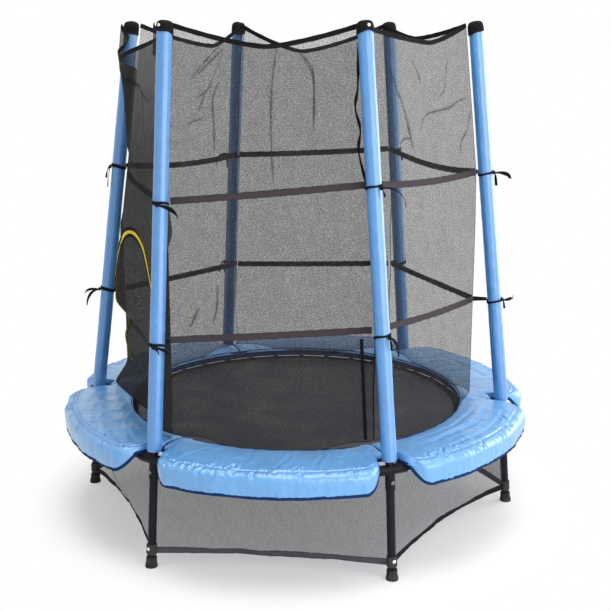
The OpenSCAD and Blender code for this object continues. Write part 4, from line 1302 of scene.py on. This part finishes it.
def net_edges(k):
    """The folded binding on the net's upper edge, the hem on its lower edge and the seam at its corner."""
    made = Maker()
    s = np.linspace(0.002, 0.998, 70)
    top = net_at(k, s, top_at(k, s) + 0.007)
    lean = unit(net_at(k, s, top_at(k, s)) - net_at(k, s, top_at(k, s) - 0.02))
    made.strap(top, lean, BINDING_W * (1 + 0.05 * np.sin(s * 60)), BINDING_T)
    made.stitches(top - UP * 0.004 + side_out(k) * (BINDING_T / 2), side_out(k), BINDING_STITCH)
    made.strap(net_at(k, s, base_at(k, s) + 0.002), lean, ROLL_W, ROLL_T, mark=2)
    finishes = ["black_webbing", "black_thread", "gathered_net"]
    made.piece(f"net_binding_{SIDES[k]}", finishes, slot="webbing", stands_for=["net_top_binding"])
    z = np.linspace(NET_BASE_Z + 0.01, NET_TOP_Z - 0.004, 90)
    seam = net_at(k, 0.0, z) + round_way(k) * (0.0015 * np.sin(z * 23 + k))[:, None]
    # At the front right corner the seam is wide black webbing: partly the real seam, partly painted shade
    # beside the sleeve. The other corners' seams are thin doubled net.
    black_seam_and_shade = CORNERS[k] == "front_right"
    made = Maker()
    made.strap(seam, round_way(k), ROLL_W if black_seam_and_shade else SEAM_W, WEB_T)
    made.piece(f"net_seam_{CORNERS[k]}", "black_webbing" if black_seam_and_shade else "doubled_net", slot="webbing")


# Where the front's gathered seam runs above its band, and below it: shares along the side and heights
PULLED_SEAM = ((0.985, 1.52), (0.971, 1.406), (0.952, 1.345), (0.971, 1.284), (0.957, 1.226), (0.985, 1.138))
PULLED_LOWER = ((0.935, 0.69), (0.962, 0.385))


def pulled_seam():
    """The front's gathered seam, which has pulled away from its pole and wanders."""
    made = Maker()
    line = through(PULLED_SEAM, 12)
    path = net_at(FRONT, line[:, 0], line[:, 1]) + side_out(FRONT) * 0.002
    t = np.linspace(0, 1, len(line))
    made.strap(path, side_along(FRONT), 0.0045 + 0.0045 * np.sin(t * 15) ** 2, 0.0026)
    lower = net_at(FRONT, *np.linspace(*PULLED_LOWER, 40).T) + side_out(FRONT) * 0.0015
    made.strap(lower, side_along(FRONT), 0.0105, 0.0016)
    made.piece("net_gathered_seam", "black_webbing", slot="webbing")


def net_band(k, name, heights, sags):
    """Webbing sewn round the outside of the net, slack between the poles."""
    made = Maker()
    s = np.linspace(0.014, 0.986, 80)
    z = band_height(heights, sags, k, s)
    out = side_out(k) * (NET_T / 2 + LAYER_GAP + WEB_T / 2)
    path = net_at(k, s, z) + out + UP * (0.0006 * np.sin(s * 90 + k))[:, None]
    up = unit(net_at(k, s, z + 0.01) - net_at(k, s, z - 0.01))
    made.strap(path, up, BAND_W, WEB_T)
    made.edge_seams(path, up, BAND_W / 2 - 0.002, side_out(k) * (WEB_T / 2), BAND_STITCH)
    finishes = ["black_webbing" if k == DOOR else "band_webbing", "black_thread"]
    made.piece(f"{name}_{SIDES[k]}", finishes, slot="webbing", stands_for=[name])


# ---- Ties ----

# The knot: its size, how far out and down it lies, and how thick its rope is
KNOT_SIZE, KNOT_OUT, KNOT_DROP, ROPE_R = 0.0015, 0.0050, 0.003, 0.0021
TONGUE_WIDTHS, TONGUE_T, TONGUE_APART = (0.009, 0.016), 0.0013, 0.0035
TAIL_W, TAIL_T, TAIL_SWAY = 0.0055, 0.0014, 0.003
# How the loose ends of each knot hang. Each end has five numbers: its turn from the pole's outer side,
# its reach, drop and lift, and its width at the end
UPPER_TAILS = {
    "right": ((0, 0.056, 0.020, 0.004, 0.017), (40, 0.016, 0.042, 0.002, 0.010)),
    "back_right": ((-30, 0.030, 0.045, 0.004, 0.012), (35, 0.026, 0.050, 0.004, 0.012)),
    "back_left": ((60, 0.048, 0.036, 0.010, 0.012), (-20, 0.020, 0.050, 0.002, 0.012)),
    "left": ((10, 0.010, 0.066, -0.010, 0.009), (-30, 0.014, 0.036, 0.0, 0.014)),
    "front_left": ((112, 0.058, 0.040, 0.002, 0.022), (-150, 0.016, -0.008, 0.0, 0.010)),
    "front_right": ((60, 0.072, 0.054, 0.008, 0.0042), (-20, 0.012, 0.022, 0.0, 0.006)),
}
LOWER_TAILS = {
    "right": ((-10, 0.034, -0.010, 0.0, 0.020), (35, 0.012, 0.030, 0.0, 0.008)),
    "back_right": ((-25, 0.028, 0.045, 0.004, 0.012), (30, 0.026, 0.050, 0.002, 0.012)),
    "back_left": ((20, 0.030, 0.045, 0.004, 0.012), (-25, 0.020, 0.050, 0.002, 0.012)),
    "left": ((0, 0.048, 0.014, 0.006, 0.014), (10, 0.042, 0.050, 0.004, 0.012)),
    "front_left": ((112, 0.048, 0.030, 0.002, 0.016), (125, 0.018, 0.020, 0.0, 0.008)),
    "front_right": ((20, 0.026, 0.050, 0.006, 0.010), (-45, 0.016, 0.030, 0.004, 0.006)),
}


def tie_tail(made, k, begin, tail, turning):
    """A loose end that reaches out, drops and twists."""
    way, reach, drop, lift, end_width = tail
    heading = turned(k * STEP + math.radians(20 + way))
    t = np.linspace(0, 1, 22)[:, None]
    path = begin + heading * reach * (1 - (1 - t) ** 1.7) + UP * (lift * 4 * t * (1 - t) - drop * t**1.5)
    path = path + unit(np.cross(UP, heading)) * TAIL_SWAY * np.sin(3 * t + k) * t
    twist = (0.5 + 0.9 * t) * turning
    flat = np.cross(UP, heading) * np.sin(twist) * 0.6 + UP * np.cos(twist)
    made.strap(path, unit(flat), mix(TAIL_W, end_width, smooth(t[:, 0] * 1.6)), TAIL_T)


def tie(k, z, name, tails):
    """A strap round the sleeve, knotted on its outer side, with a tongue to the net and two loose ends."""
    made = Maker()
    centre, axis, turn = pole_at(k, z), pole_axis(k), full_turn(40)
    droop = 0.0035 * np.cos(turn - 0.6) - 0.0035 + 0.001 * np.sin(3 * turn + k)
    ring = centre + hoop_spokes(k, axis, turn) * (SLEEVE_D / 2 + 0.0009) + axis * droop[:, None]
    made.strap(ring, axis, 0.0085 + 0.0025 * np.sin(turn + 2.2 * k), WEB_T, closed=True)
    corner = net_corner(k, z)
    start = centre + unit(corner - centre) * (SLEEVE_D / 2 + 0.0005)
    for apart in (-1, 1):
        ways = np.linspace(0, 1, 6)
        path = [mix(start, corner, t) + round_way(k) * apart * TONGUE_APART * (1 - t) for t in ways]
        made.strap(path, UP, np.linspace(*TONGUE_WIDTHS, 6), TONGUE_T)
    knot_way = unit(outward(k) + 0.36 * round_way(k))
    side_way = unit(np.cross(UP, knot_way))
    middle = centre + knot_way * (SLEEVE_D / 2 + KNOT_OUT) - UP * KNOT_DROP
    t = full_turn(54)
    trefoil = [np.sin(t) + 2 * np.sin(2 * t), np.cos(t) - 2 * np.cos(2 * t), -np.sin(3 * t)]
    bend = np.stack(trefoil, axis=1) * KNOT_SIZE
    knot = middle + bend[:, :1] * side_way + bend[:, 1:2] * UP * 1.1 + bend[:, 2:] * knot_way * 1.3
    made.tube(knot, ROPE_R + 0.0004 * np.sin(5 * t), 8, closed=True, side=knot_way)
    for i, tail in enumerate(tails):
        begin = middle - UP * 0.002 + knot_way * (0.001 + 0.0015 * i)
        tie_tail(made, k, begin, tail, 1 if (k + i) % 2 else -1)
    made.piece(f"{name}_{CORNERS[k]}", "black_webbing", slot="webbing", stands_for=[name])


# ---- Door ----


def door_at(x, z, out=0.0):
    """A point on the door's side of the net, from its place along the side and its height."""
    x, z = np.broadcast_arrays(np.asarray(x, float), np.asarray(z, float))
    away = NET_APOTHEM + out + door_wave(x, z)
    return side_out(DOOR) * away[..., None] + side_along(DOOR) * x[..., None] + UP * z[..., None]


def arch_line(grow, spacing):
    """Round the doorway from its left foot to its right foot: places, heights and the way out of it."""
    low, r = DOOR_Z + HINGE_GAP, ARCH_R + grow
    foot = (ZIP_RIGHT + (grow - LEAN_Z * HINGE_GAP) / LEAN_X, low)
    tip = (ARCH_X + r * LEAN_X, ARCH_Z + r * LEAN_Z)
    rise, fall = round((ARCH_Z - low) / spacing), round(math.dist(foot, tip) / spacing)
    turn = np.linspace(math.pi, LEG_LEAN, round(r * (math.pi - LEG_LEAN) / spacing))
    way = np.stack([np.cos(turn), np.sin(turn)], axis=1)
    left = np.stack([np.full(rise, ARCH_X - r), np.linspace(low, ARCH_Z, rise, endpoint=False)], axis=1)
    right = np.linspace(tip, foot, fall + 1)[1:]
    places = np.concatenate([left, [ARCH_X, ARCH_Z] + r * way, right])
    away = np.concatenate([np.tile([-1.0, 0.0], (rise, 1)), way, np.tile([LEAN_X, LEAN_Z], (fall, 1))])
    return places[:, 0], places[:, 1], away


def arch_top(x, grow):
    """How high the doorway reaches at a place along the side."""
    r = ARCH_R + grow
    leg = DOOR_Z + (grow - (x - ZIP_RIGHT) * LEAN_X) / LEAN_Z
    return np.where(x < ARCH_X + r * LEAN_X, ARCH_Z + np.sqrt(np.maximum(r**2 - (x - ARCH_X) ** 2, 0)), leg)


def arch_places(grow, base):
    """Places across the doorway, closer together at its edges, from its left leg to its right foot."""
    left, right = ARCH_X - ARCH_R - grow, ZIP_RIGHT + (grow - LEAN_Z * (base - DOOR_Z)) / LEAN_X
    return mix(left, right, 0.5 + 0.5 * np.sin(np.linspace(-math.pi / 2, math.pi / 2, 81)))


def doorway_area():
    x, z, _ = arch_line(0.0, 0.004)
    return abs(x @ np.roll(z, 1) - z @ np.roll(x, 1)) / 2


def in_door(away):
    """Ways in the doorway's plane, from parts along the side and up."""
    return away[:, :1] * side_along(DOOR) + away[:, 1:] * UP


def door_flap():
    """The net that fills the doorway."""
    made = Maker()
    low = DOOR_Z + 0.0003
    x = arch_places(-TAPE_LAP, low)
    over = np.maximum(arch_top(x, -TAPE_LAP), low)
    made.grid(door_at(x[None], np.array([mix(low, over, t) for t in np.linspace(0, 1, 60)])))
    piece = made.cloth("door_net", "door_mesh", body="door_flap", slot="net_mesh", stands_for=["door_flap"])
    doorway_area()


def zip_side(name, node, body, inwards):
    """One tape of the zip with its row of teeth and its two seams."""
    made = Maker()
    middle = inwards * (ZIP_GAP / 2 + TAPE_W / 2)
    x, z, away = arch_line(middle, 0.012)
    out = TAPE_OUT + TAPE_T / 2
    made.strap(door_at(x, z, out), in_door(away), TAPE_W, TAPE_T)
    left_bare, round_bare = 0.0028 + 0.0022 * np.sin(z * 83), 0.0068 + 0.0012 * np.sin(z * 31 + x * 40)
    bare = np.where(x < ARCH_X - 0.09, left_bare, round_bare)
    shift = (inwards * bare / 2)[:, None] * in_door(away)
    cover = door_at(x, z, out + TAPE_T / 2 + 0.0005) + shift
    made.strap(cover, in_door(away), TAPE_W + 0.002 - bare, 0.0008, mark=3)
    for place in (middle + 0.005 * inwards, middle - 0.0005 * inwards):
        x, z, away = arch_line(place, 0.01)
        made.stitches(door_at(x, z, out + TAPE_T / 2 + 0.0009), side_out(DOOR), ZIP_STITCH, mark=2)
    x, z, away = arch_line(inwards * ZIP_GAP, TOOTH_PITCH)
    places = door_at(x, z, out + 0.0006)
    along = np.gradient(places, axis=0)
    for i in range(len(places) - 1):
        if (i % 2 == 0) == (inwards > 0):
            place = np.eye(4)
            place[:3, :3] = np.stack([in_door(away[i : i + 1])[0], unit(along[i]), side_out(DOOR)], axis=1)
            place[:3, 3] = places[i]
            made.box(place, TOOTH, mark=1)
    finishes = ["zip_cloth", "zip_moulding", "black_thread", "black_webbing"]
    made.piece(name, finishes, body=body, slot="zip_tape", stands_for=[node])


# The slider's outline: shares of its length, and of its width there
SLIDER_SHAPE = ((-0.5, -0.35, 0, 0.3, 0.5), (0.62, 0.92, 0.96, 1, 0.72))
# Its two plates: how far out each lies, and how thick it is
SLIDER_PLATES = ((0.0007, 0.0014), (0.0033, 0.0013))
EAR_WIDTHS, EAR_T, PIN_R, COLLAR_R = (0.0046, 0.004, 0.0036, 0.0034, 0.0022), 0.001, 0.0008, 0.0014
# The pull's outline: shares of its length, and its width there
PULL_SHAPE = ((0, 0.12, 0.3, 0.8, 0.94, 1), (0.0040, 0.0044, 0.0054, 0.0066, 0.0056, 0.0026))
PULL_T, PULL_RIB_R = 0.0013, 0.0005


def slider_ways():
    """The slider's place on the leaning leg, and the ways out of the net, across the leg and up it."""
    out = side_out(DOOR)
    side, up = side_along(DOOR) * LEAN_X + UP * LEAN_Z, UP * LEAN_X - side_along(DOOR) * LEAN_Z
    foot = side_along(DOOR) * ZIP_RIGHT + out * NET_APOTHEM + UP * DOOR_Z
    return foot + side * SLIDER_ASIDE + up * SLIDER_RISE, out, side, up


def zip_slider():
    """The slider's two plates, the bridge between them, and the pin between its ears."""
    at, out, side, up = slider_ways()
    made = Maker()
    t = np.linspace(-0.5, 0.5, 9)
    wide = SLIDER_W * np.interp(t, *SLIDER_SHAPE)
    for level, thick in SLIDER_PLATES:
        made.strap([at + out * (SLIDER_OUT + level) + up * (SLIDER_L * i) for i in t], side, wide, thick)
    made.strap([at + out * (SLIDER_OUT + 0.002) + up * (SLIDER_L * i) for i in t[2:7]], side, 0.003, 0.0026)
    for edge in (-1, 1):
        ear = at + side * edge * (SLIDER_W / 2 - EAR_T / 2)
        lifts = np.linspace(0, PIN_OUT - SLIDER_OUT - SLIDER_T + 0.0022, 5)
        rise = [ear + out * (SLIDER_OUT + SLIDER_T - 0.0006 + lift) for lift in lifts]
        made.strap(rise, up, EAR_WIDTHS, EAR_T)
    pin = at + out * PIN_OUT
    made.tube([pin + side * i for i in np.linspace(-SLIDER_W / 2, SLIDER_W / 2, 5)], PIN_R, 12)
    made.piece(
        "zip_slider_body", "zip_moulding", body="zip_slider", slot="zip_plastic", stands_for=["zip_slider"]
    )


def zip_pull():
    """The pull: a collar on the slider's pin and a ribbed tab."""
    at, out, side, up = slider_ways()
    pin = at + out * PIN_OUT
    made = Maker()
    collar = [pin + up * (COLLAR_R * math.cos(i)) + out * (COLLAR_R * math.sin(i)) for i in full_turn(16)]
    made.strap(collar, side, SLIDER_W - 0.0028, 0.0008, closed=True)
    t = np.linspace(0, 1, 16)
    wide = np.interp(t, *PULL_SHAPE)
    drop = [pin - up * (0.0016 + (PULL_L - 0.0018) * i) for i in t]
    made.strap(drop, side, wide, PULL_T)
    for edge in (-1, 1):
        made.tube([p + side * edge * w * 0.36 + out * 0.0006 for p, w in zip(drop, wide)], PULL_RIB_R, 6)
    made.piece("zip_pull_tab", "zip_moulding", body="zip_pull", slot="zip_plastic", stands_for=["zip_pull"])


# ---- Skirt ----


def skirt_at(k, u, t):
    """Points of the skirt on side k, at shares along it and up it."""
    u, t = np.broadcast_arrays(np.asarray(u, float), np.asarray(t, float))
    gap = (LOOP_D / 2 + LAYER_GAP) / np.linalg.norm(leg_at(k + 1, 0) - leg_at(k, 0))
    s = mix(gap * 0.8, 1 - gap * 0.8, u)
    hump = 4 * s * (1 - s) * (0.4 if k % 6 == FRONT else 1)
    z = mix(SKIRT_Z + SKIRT_RISE * hump, SKIRT_TOP_Z, t)
    low = mix(leg_at(k, SKIRT_Z), leg_at(k + 1, SKIRT_Z), s[..., None])
    low = low - side_out(k) * (SKIRT_BOW * hump)[..., None]
    high = at_angle(RING_R, (k + s) * STEP, 0)
    wave = 0.006 * np.sin(math.pi * t) * np.sin(math.pi * s) * np.sin(2 * math.pi * (2 * s + 0.4 * k))
    wave = wave + 0.003 * np.sin(math.pi * s) * ripple(110 + k, s * 20, t * 2.5)
    point = mix(low, high, t[..., None]) + side_out(k) * wave[..., None]
    point[..., 2] = z
    return point


def skirt_panel(k):
    """The mesh that hangs between two legs."""
    made = Maker()
    made.grid(skirt_at(k, np.linspace(0, 1, 70)[None], np.linspace(0, 1, 34)[:, None]))
    piece = made.cloth(f"skirt_{SIDES[k]}", "skirt_net", slot="skirt_mesh", stands_for=["skirt_panels"])
    SKIRT_TOP_Z - SKIRT_Z


def skirt_hem(k):
    """Webbing along the skirt's lower edge, which rolls over a little on its way."""
    made = Maker()
    u = np.linspace(0, 1, 60)
    share = SKIRT_HEM_W / (SKIRT_TOP_Z - SKIRT_Z)
    path = skirt_at(k, u, share / 2) + side_out(k) * (NET_T / 2 + LAYER_GAP + WEB_T / 2)
    up = unit(skirt_at(k, u, share) - skirt_at(k, u, 0.0))
    roll = (0.25 * ripple(120 + k, u * 7))[:, None] * np.sin(math.pi * u)[:, None]
    path = path + UP * (0.0025 * ripple(130 + k, u * 9) * np.sin(math.pi * u))[:, None]
    side = unit(up * np.cos(roll) + side_out(k) * np.sin(roll))
    made.strap(path, side, SKIRT_HEM_W, WEB_T)
    made.edge_seams(path, side, SKIRT_HEM_W / 2 - 0.0025, side_out(k) * (WEB_T / 2 + 0.0002), SKIRT_STITCH)
    # The front hem takes the paler copy of the webbing: painted light where it faces the lamps
    finishes = ["grey_webbing" if k == FRONT else "black_webbing", "black_thread"]
    made.piece(f"skirt_hem_{SIDES[k]}", finishes, slot="webbing", stands_for=["skirt_hem"])


# The rivet's section: distance from its axis and height over the webbing
RIVET_DOME = (
    (0.0001, 0), (0.0052, 0), (0.0055, 0.0006), (0.0050, 0.0014), (0.0034, 0.0024), (0.0001, 0.0029),
)


def leg_loop(k):
    """A webbing loop round the leg, lapped on its outer side and held by a domed rivet."""
    made = Maker()
    low = leg_at(k, SKIRT_Z - 0.004)
    axis = unit(RING_POINTS[k] - low)
    out = outward(k)
    turn = full_turn(36)
    hoop = hoop_spokes(k, axis, turn)
    middle = low + axis * LOOP_H / 2
    radius = (LOOP_D / 2 - LOOP_T / 2 + 0.0004 * np.sin(4 * turn + k))[:, None]
    wide = LOOP_H - 0.002 + 0.001 * np.sin(turn * 2 + k)
    made.strap(middle + hoop * radius, axis, wide, 0.0018, closed=True)
    lap = (middle + hoop * (radius + 0.0014))[np.r_[30:36, 0:7]]
    made.strap(lap, axis, LOOP_H * 0.8, 0.0012)
    made.piece(f"leg_loop_{CORNERS[k]}", "band_webbing", slot="webbing", stands_for=["leg_loops"])
    made = Maker()
    at = leg_at(k, SKIRT_Z + LOOP_H / 2)
    face = LOOP_D / 2 + 0.0004
    made.lathe([(r, face + rise) for r, rise in RIVET_DOME], at, out, 28)
    made.piece(f"rivet_{CORNERS[k]}", "rivet_head", slot="zinc", stands_for=["loop_rivets"])


# ---- Stage ----

VIEW_FROM, VIEW_TURN, VIEW_DOWN, VIEW_LENS = (0.4596, -3.6875, 1.5586), 0.1158, 0.2368, 67.68
FLOOR_HALF, FLOOR_NEAR, FLOOR_Z = 60, 4, -0.0004
# The distances over which the floor turns to plain white
FLOOR_FADE = (0.70, 0.96)
# For each lamp: its place, what it is aimed at, and its width and height
LAMPS = {
    "key": ((2.8, -2.9, 1.2), (0, 0, 0.9), (3.6, 2.3)),
    "side": ((3.2, 1.5, 1.3), (0, 0, 0.8), (2.8, 2.3)),
    "top": ((0.2, -0.6, 4.2), (0, 0, 0.7), (3.0, 3.0)),
}


def camera():
    """Looks from a standing person's height at the door's side."""
    lens = bpy.data.cameras.new("camera")
    lens.lens = VIEW_LENS
    lens.sensor_width = 36
    made = in_scene("camera", lens)
    made.location = VIEW_FROM
    made.rotation_euler = (math.pi / 2 - VIEW_DOWN, 0, VIEW_TURN)
    bpy.context.scene.camera = made


def seen_straight(paint):
    """1 wherever something is seen straight, in gloss or through glass, and 0 for light it bounces."""
    rays = ("Is Camera Ray", "Is Glossy Ray", "Is Transmission Ray")
    seen, *others = [paint.node("ShaderNodeLightPath", output=ray) for ray in rays]
    for other in others:
        seen = seen.larger(other)
    return seen


def floor():
    """A wide pale floor that keeps the soft shadow and turns to plain white farther out."""
    mesh = bpy.data.meshes.new("floor")
    edges = (-FLOOR_HALF, -FLOOR_NEAR, FLOOR_NEAR, FLOOR_HALF)
    corners = [(x, y, FLOOR_Z) for y in edges for x in edges]
    mesh.from_pydata(corners, [], [(i, i + 1, i + 5, i + 4) for i in (0, 1, 2, 4, 5, 6, 8, 9, 10)])
    mesh.materials.append(bpy.data.materials.new("pale_floor"))
    paint = Paint(mesh.materials[0])
    tone = paint.blend(paint.noise(3, 2), (0.93, 0.93, 0.935), (0.95, 0.95, 0.95))
    matt = paint.node("ShaderNodeBsdfDiffuse", {}, {"Color": tone})
    far = paint.node("ShaderNodeVectorMath", {"operation": "LENGTH"}, {0: paint.place()}, "Value")
    near_white, all_white = FLOOR_FADE
    fade = {0: far, 1: near_white, 2: all_white, 3: sizes().floor_white, 4: 1.0}
    share = paint.node("ShaderNodeMapRange", {"interpolation_type": "SMOOTHSTEP"}, fade)
    glow = paint.node("ShaderNodeEmission", {}, {"Color": (1.0, 1.0, 1.0), "Strength": 1.0})
    mixed = paint.node("ShaderNodeMixShader", {}, {0: seen_straight(paint) * share, 1: matt, 2: glow})
    paint.node("ShaderNodeOutputMaterial", {}, {0: mixed})
    in_scene("floor", mesh)


def light_room():
    """An even pale room with two broad lamps standing on the right and one overhead."""
    scene, room = bpy.context.scene, bpy.data.worlds.new("pale_room")
    scene.world = room
    paint, shade = Paint(room), sizes().room_light
    strength = seen_straight(paint) * (1 - shade) + shade
    sky = paint.node("ShaderNodeBackground", {}, {0: (1.0, 1.0, 1.0), 1: strength})
    paint.node("ShaderNodeOutputWorld", {}, {0: sky})
    for name, (place, aim, (wide, high)) in LAMPS.items():
        light = bpy.data.lights.new(name, "AREA")
        light.shape, light.size, light.size_y = "RECTANGLE", wide, high
        light.energy = getattr(sizes(), f"{name}_light")
        made = in_scene(name, light)
        made.location = place
        made.rotation_euler = (Vector(aim) - Vector(place)).to_track_quat("-Z", "Y").to_euler()
    scene.view_settings.view_transform = "Standard"


# ---- Add-on ----


def colour(name, description, value):
    return bpy.props.FloatVectorProperty(
        name=name, description=description, subtype="COLOR", size=3, min=0, max=1, default=value
    )


def length(name, description, value, low, high):
    return bpy.props.FloatProperty(
        name=name, description=description, unit="LENGTH", subtype="DISTANCE",
        default=value, min=low, max=high, precision=5,
    )


def share(name, description, value):
    return bpy.props.FloatProperty(
        name=name, description=description, subtype="FACTOR", default=value, min=0, max=1
    )


def watts(name, description, value):
    return bpy.props.FloatProperty(name=name, description=description, subtype="POWER", default=value, min=0)


class TrampolineColours(bpy.types.PropertyGroup):
    """Colours of the trampoline's finishes."""

    steel: colour("Steel", "Powder coat on the tubes and joints", srgb(27, 25, 33))
    foam: colour("Foam", "Skin of the pole sleeves", srgb(68, 136, 200))
    vinyl: colour("Vinyl", "Top of the spring cover", srgb(86, 154, 214))
    binding: colour("Edge binding", "Tape round the edges of the spring cover", srgb(16, 46, 92))
    webbing: colour("Webbing", "Black bindings and ties", srgb(24, 24, 27))
    bands: colour("Bands", "Bands sewn round the net", srgb(66, 60, 63))
    mat: colour("Mat", "Woven jumping mat", srgb(56, 58, 67))
    net: colour("Net", "Threads of the safety net", srgb(48, 47, 46))
    zip: colour("Zip", "Tapes, slider and pull of the door's zip", srgb(236, 218, 60))


class TrampolineSizes(bpy.types.PropertyGroup):
    """Fine sizes of the finishes, and the light."""

    scrim_pitch: length("Scrim pitch", "Distance between the threads under the vinyl", 0.0016, 0.0005, 0.005)
    mat_pitch: length("Mat pitch", "Width of two yarns of the mat", 0.0030, 0.001, 0.01)
    net_cover: share("Net cover", "How much of the safety net is thread", 0.52)
    door_cover: share("Door cover", "How much of the door's side is thread", 0.97)
    skirt_cover: share("Skirt cover", "How much of the skirt is thread", 0.52)
    room_light: share("Room light", "Brightness of the room round the trampoline", 0.62)
    floor_white: share("Floor white", "Share of plain white in the floor beside the trampoline", 0.36)
    key_light: watts("Key lamp", "Power of the lamp on the front right", 86)
    side_light: watts("Side lamp", "Power of the lamp on the right", 70)
    top_light: watts("Top lamp", "Power of the lamp overhead", 105)


class Builder:
    """Runs one step. What fails in it stops the script."""

    bl_options = {"REGISTER", "UNDO"}

    def execute(self, context):
        self.build()
        return {"FINISHED"}


class DressFrame(Builder, bpy.types.Operator):
    """Paint the steel tubes, feet and bolts"""

    bl_idname = "trampoline.dress_frame"
    bl_label = "Frame finishes"

    def build(self):
        dress_nodes()


class MakePoles(Builder, bpy.types.Operator):
    """Cover the poles with foam tubes and fabric pockets"""

    bl_idname = "trampoline.make_poles"
    bl_label = "Foam tubes and pockets"

    def build(self):
        for k in range(6):
            foam_sleeve(k)
            pole_pocket(k)


class MakeMat(Builder, bpy.types.Operator):
    """Weave the mat, sew its webbing on and hang it on its springs"""

    bl_idname = "trampoline.make_mat"
    bl_label = "Mat and springs"

    def build(self):
        cloth = jumping_mat()
        hem = mat_hem()
        for i in range(6 * SPRINGS_A_SIDE):
            spring(i)


class MakeCover(Builder, bpy.types.Operator):
    """Lay the padded vinyl cover over the springs"""

    bl_idname = "trampoline.make_cover"
    bl_label = "Spring cover"

    def build(self):
        for k in range(6):
            spring_pad(k)


class MakeNet(Builder, bpy.types.Operator):
    """Hang the safety net with its bindings and bands"""

    bl_idname = "trampoline.make_net"
    bl_label = "Safety net"

    def build(self):
        for k in range(6):
            net_panel(k)
            net_edges(k)
            net_band(k, "upper_band", UPPER_Z, UPPER_SAGS)
            if k != DOOR:
                net_band(k, "lower_band", LOWER_Z, LOWER_SAGS)
        pulled_seam()


class MakeTies(Builder, bpy.types.Operator):
    """Knot the net to the poles"""

    bl_idname = "trampoline.make_ties"
    bl_label = "Ties"

    def build(self):
        for k in range(6):
            tie(k, UPPER_Z[k], "upper_ties", UPPER_TAILS[CORNERS[k]])
            tie(k, LOWER_Z[k], "lower_ties", LOWER_TAILS[CORNERS[k]])


class MakeDoor(Builder, bpy.types.Operator):
    """Sew the door's flap, zip, slider and pull"""

    bl_idname = "trampoline.make_door"
    bl_label = "Zipped door"

    def build(self):
        door_flap()
        zip_side("zip_tape_of_flap", "flap_zip_tape", "door_flap", -1)
        zip_side("zip_tape_of_net", "frame_zip_tape", "root", 1)
        zip_slider()
        zip_pull()


class MakeSkirt(Builder, bpy.types.Operator):
    """Hang the mesh skirt between the legs"""

    bl_idname = "trampoline.make_skirt"
    bl_label = "Skirt"

    def build(self):
        for k in range(6):
            skirt_panel(k)
            skirt_hem(k)
            leg_loop(k)


class SetStage(Builder, bpy.types.Operator):
    """Set up the pale floor, the lights and the camera"""

    bl_idname = "trampoline.set_stage"
    bl_label = "Stage"

    def build(self):
        floor()
        light_room()
        camera()


OPERATORS = (DressFrame, MakePoles, MakeMat, MakeCover, MakeNet, MakeTies, MakeDoor, MakeSkirt, SetStage)


class TrampolinePanel(bpy.types.Panel):
    """Lists the trampoline's steps and colours"""

    bl_idname = "VIEW3D_PT_trampoline"
    bl_label = "Trampoline"
    bl_space_type = "VIEW_3D"
    bl_region_type = "UI"
    bl_category = "Trampoline"

    def draw(self, context):
        for operator in OPERATORS:
            self.layout.operator(operator.bl_idname)
        for group in (context.scene.trampoline_colours, context.scene.trampoline_sizes):
            for name in group.__annotations__:
                self.layout.prop(group, name)


CLASSES = (TrampolineColours, TrampolineSizes, *OPERATORS, TrampolinePanel)


def register():
    for cls in CLASSES:
        bpy.utils.register_class(cls)
    bpy.types.Scene.trampoline_colours = bpy.props.PointerProperty(type=TrampolineColours)
    bpy.types.Scene.trampoline_sizes = bpy.props.PointerProperty(type=TrampolineSizes)


def unregister():
    del bpy.types.Scene.trampoline_sizes
    del bpy.types.Scene.trampoline_colours
    for cls in reversed(CLASSES):
        bpy.utils.unregister_class(cls)


def main():
    register()
    for operator in OPERATORS:
        group, name = operator.bl_idname.split(".")
        getattr(getattr(bpy.ops, group), name)()


if __name__ == "__main__":
    main()
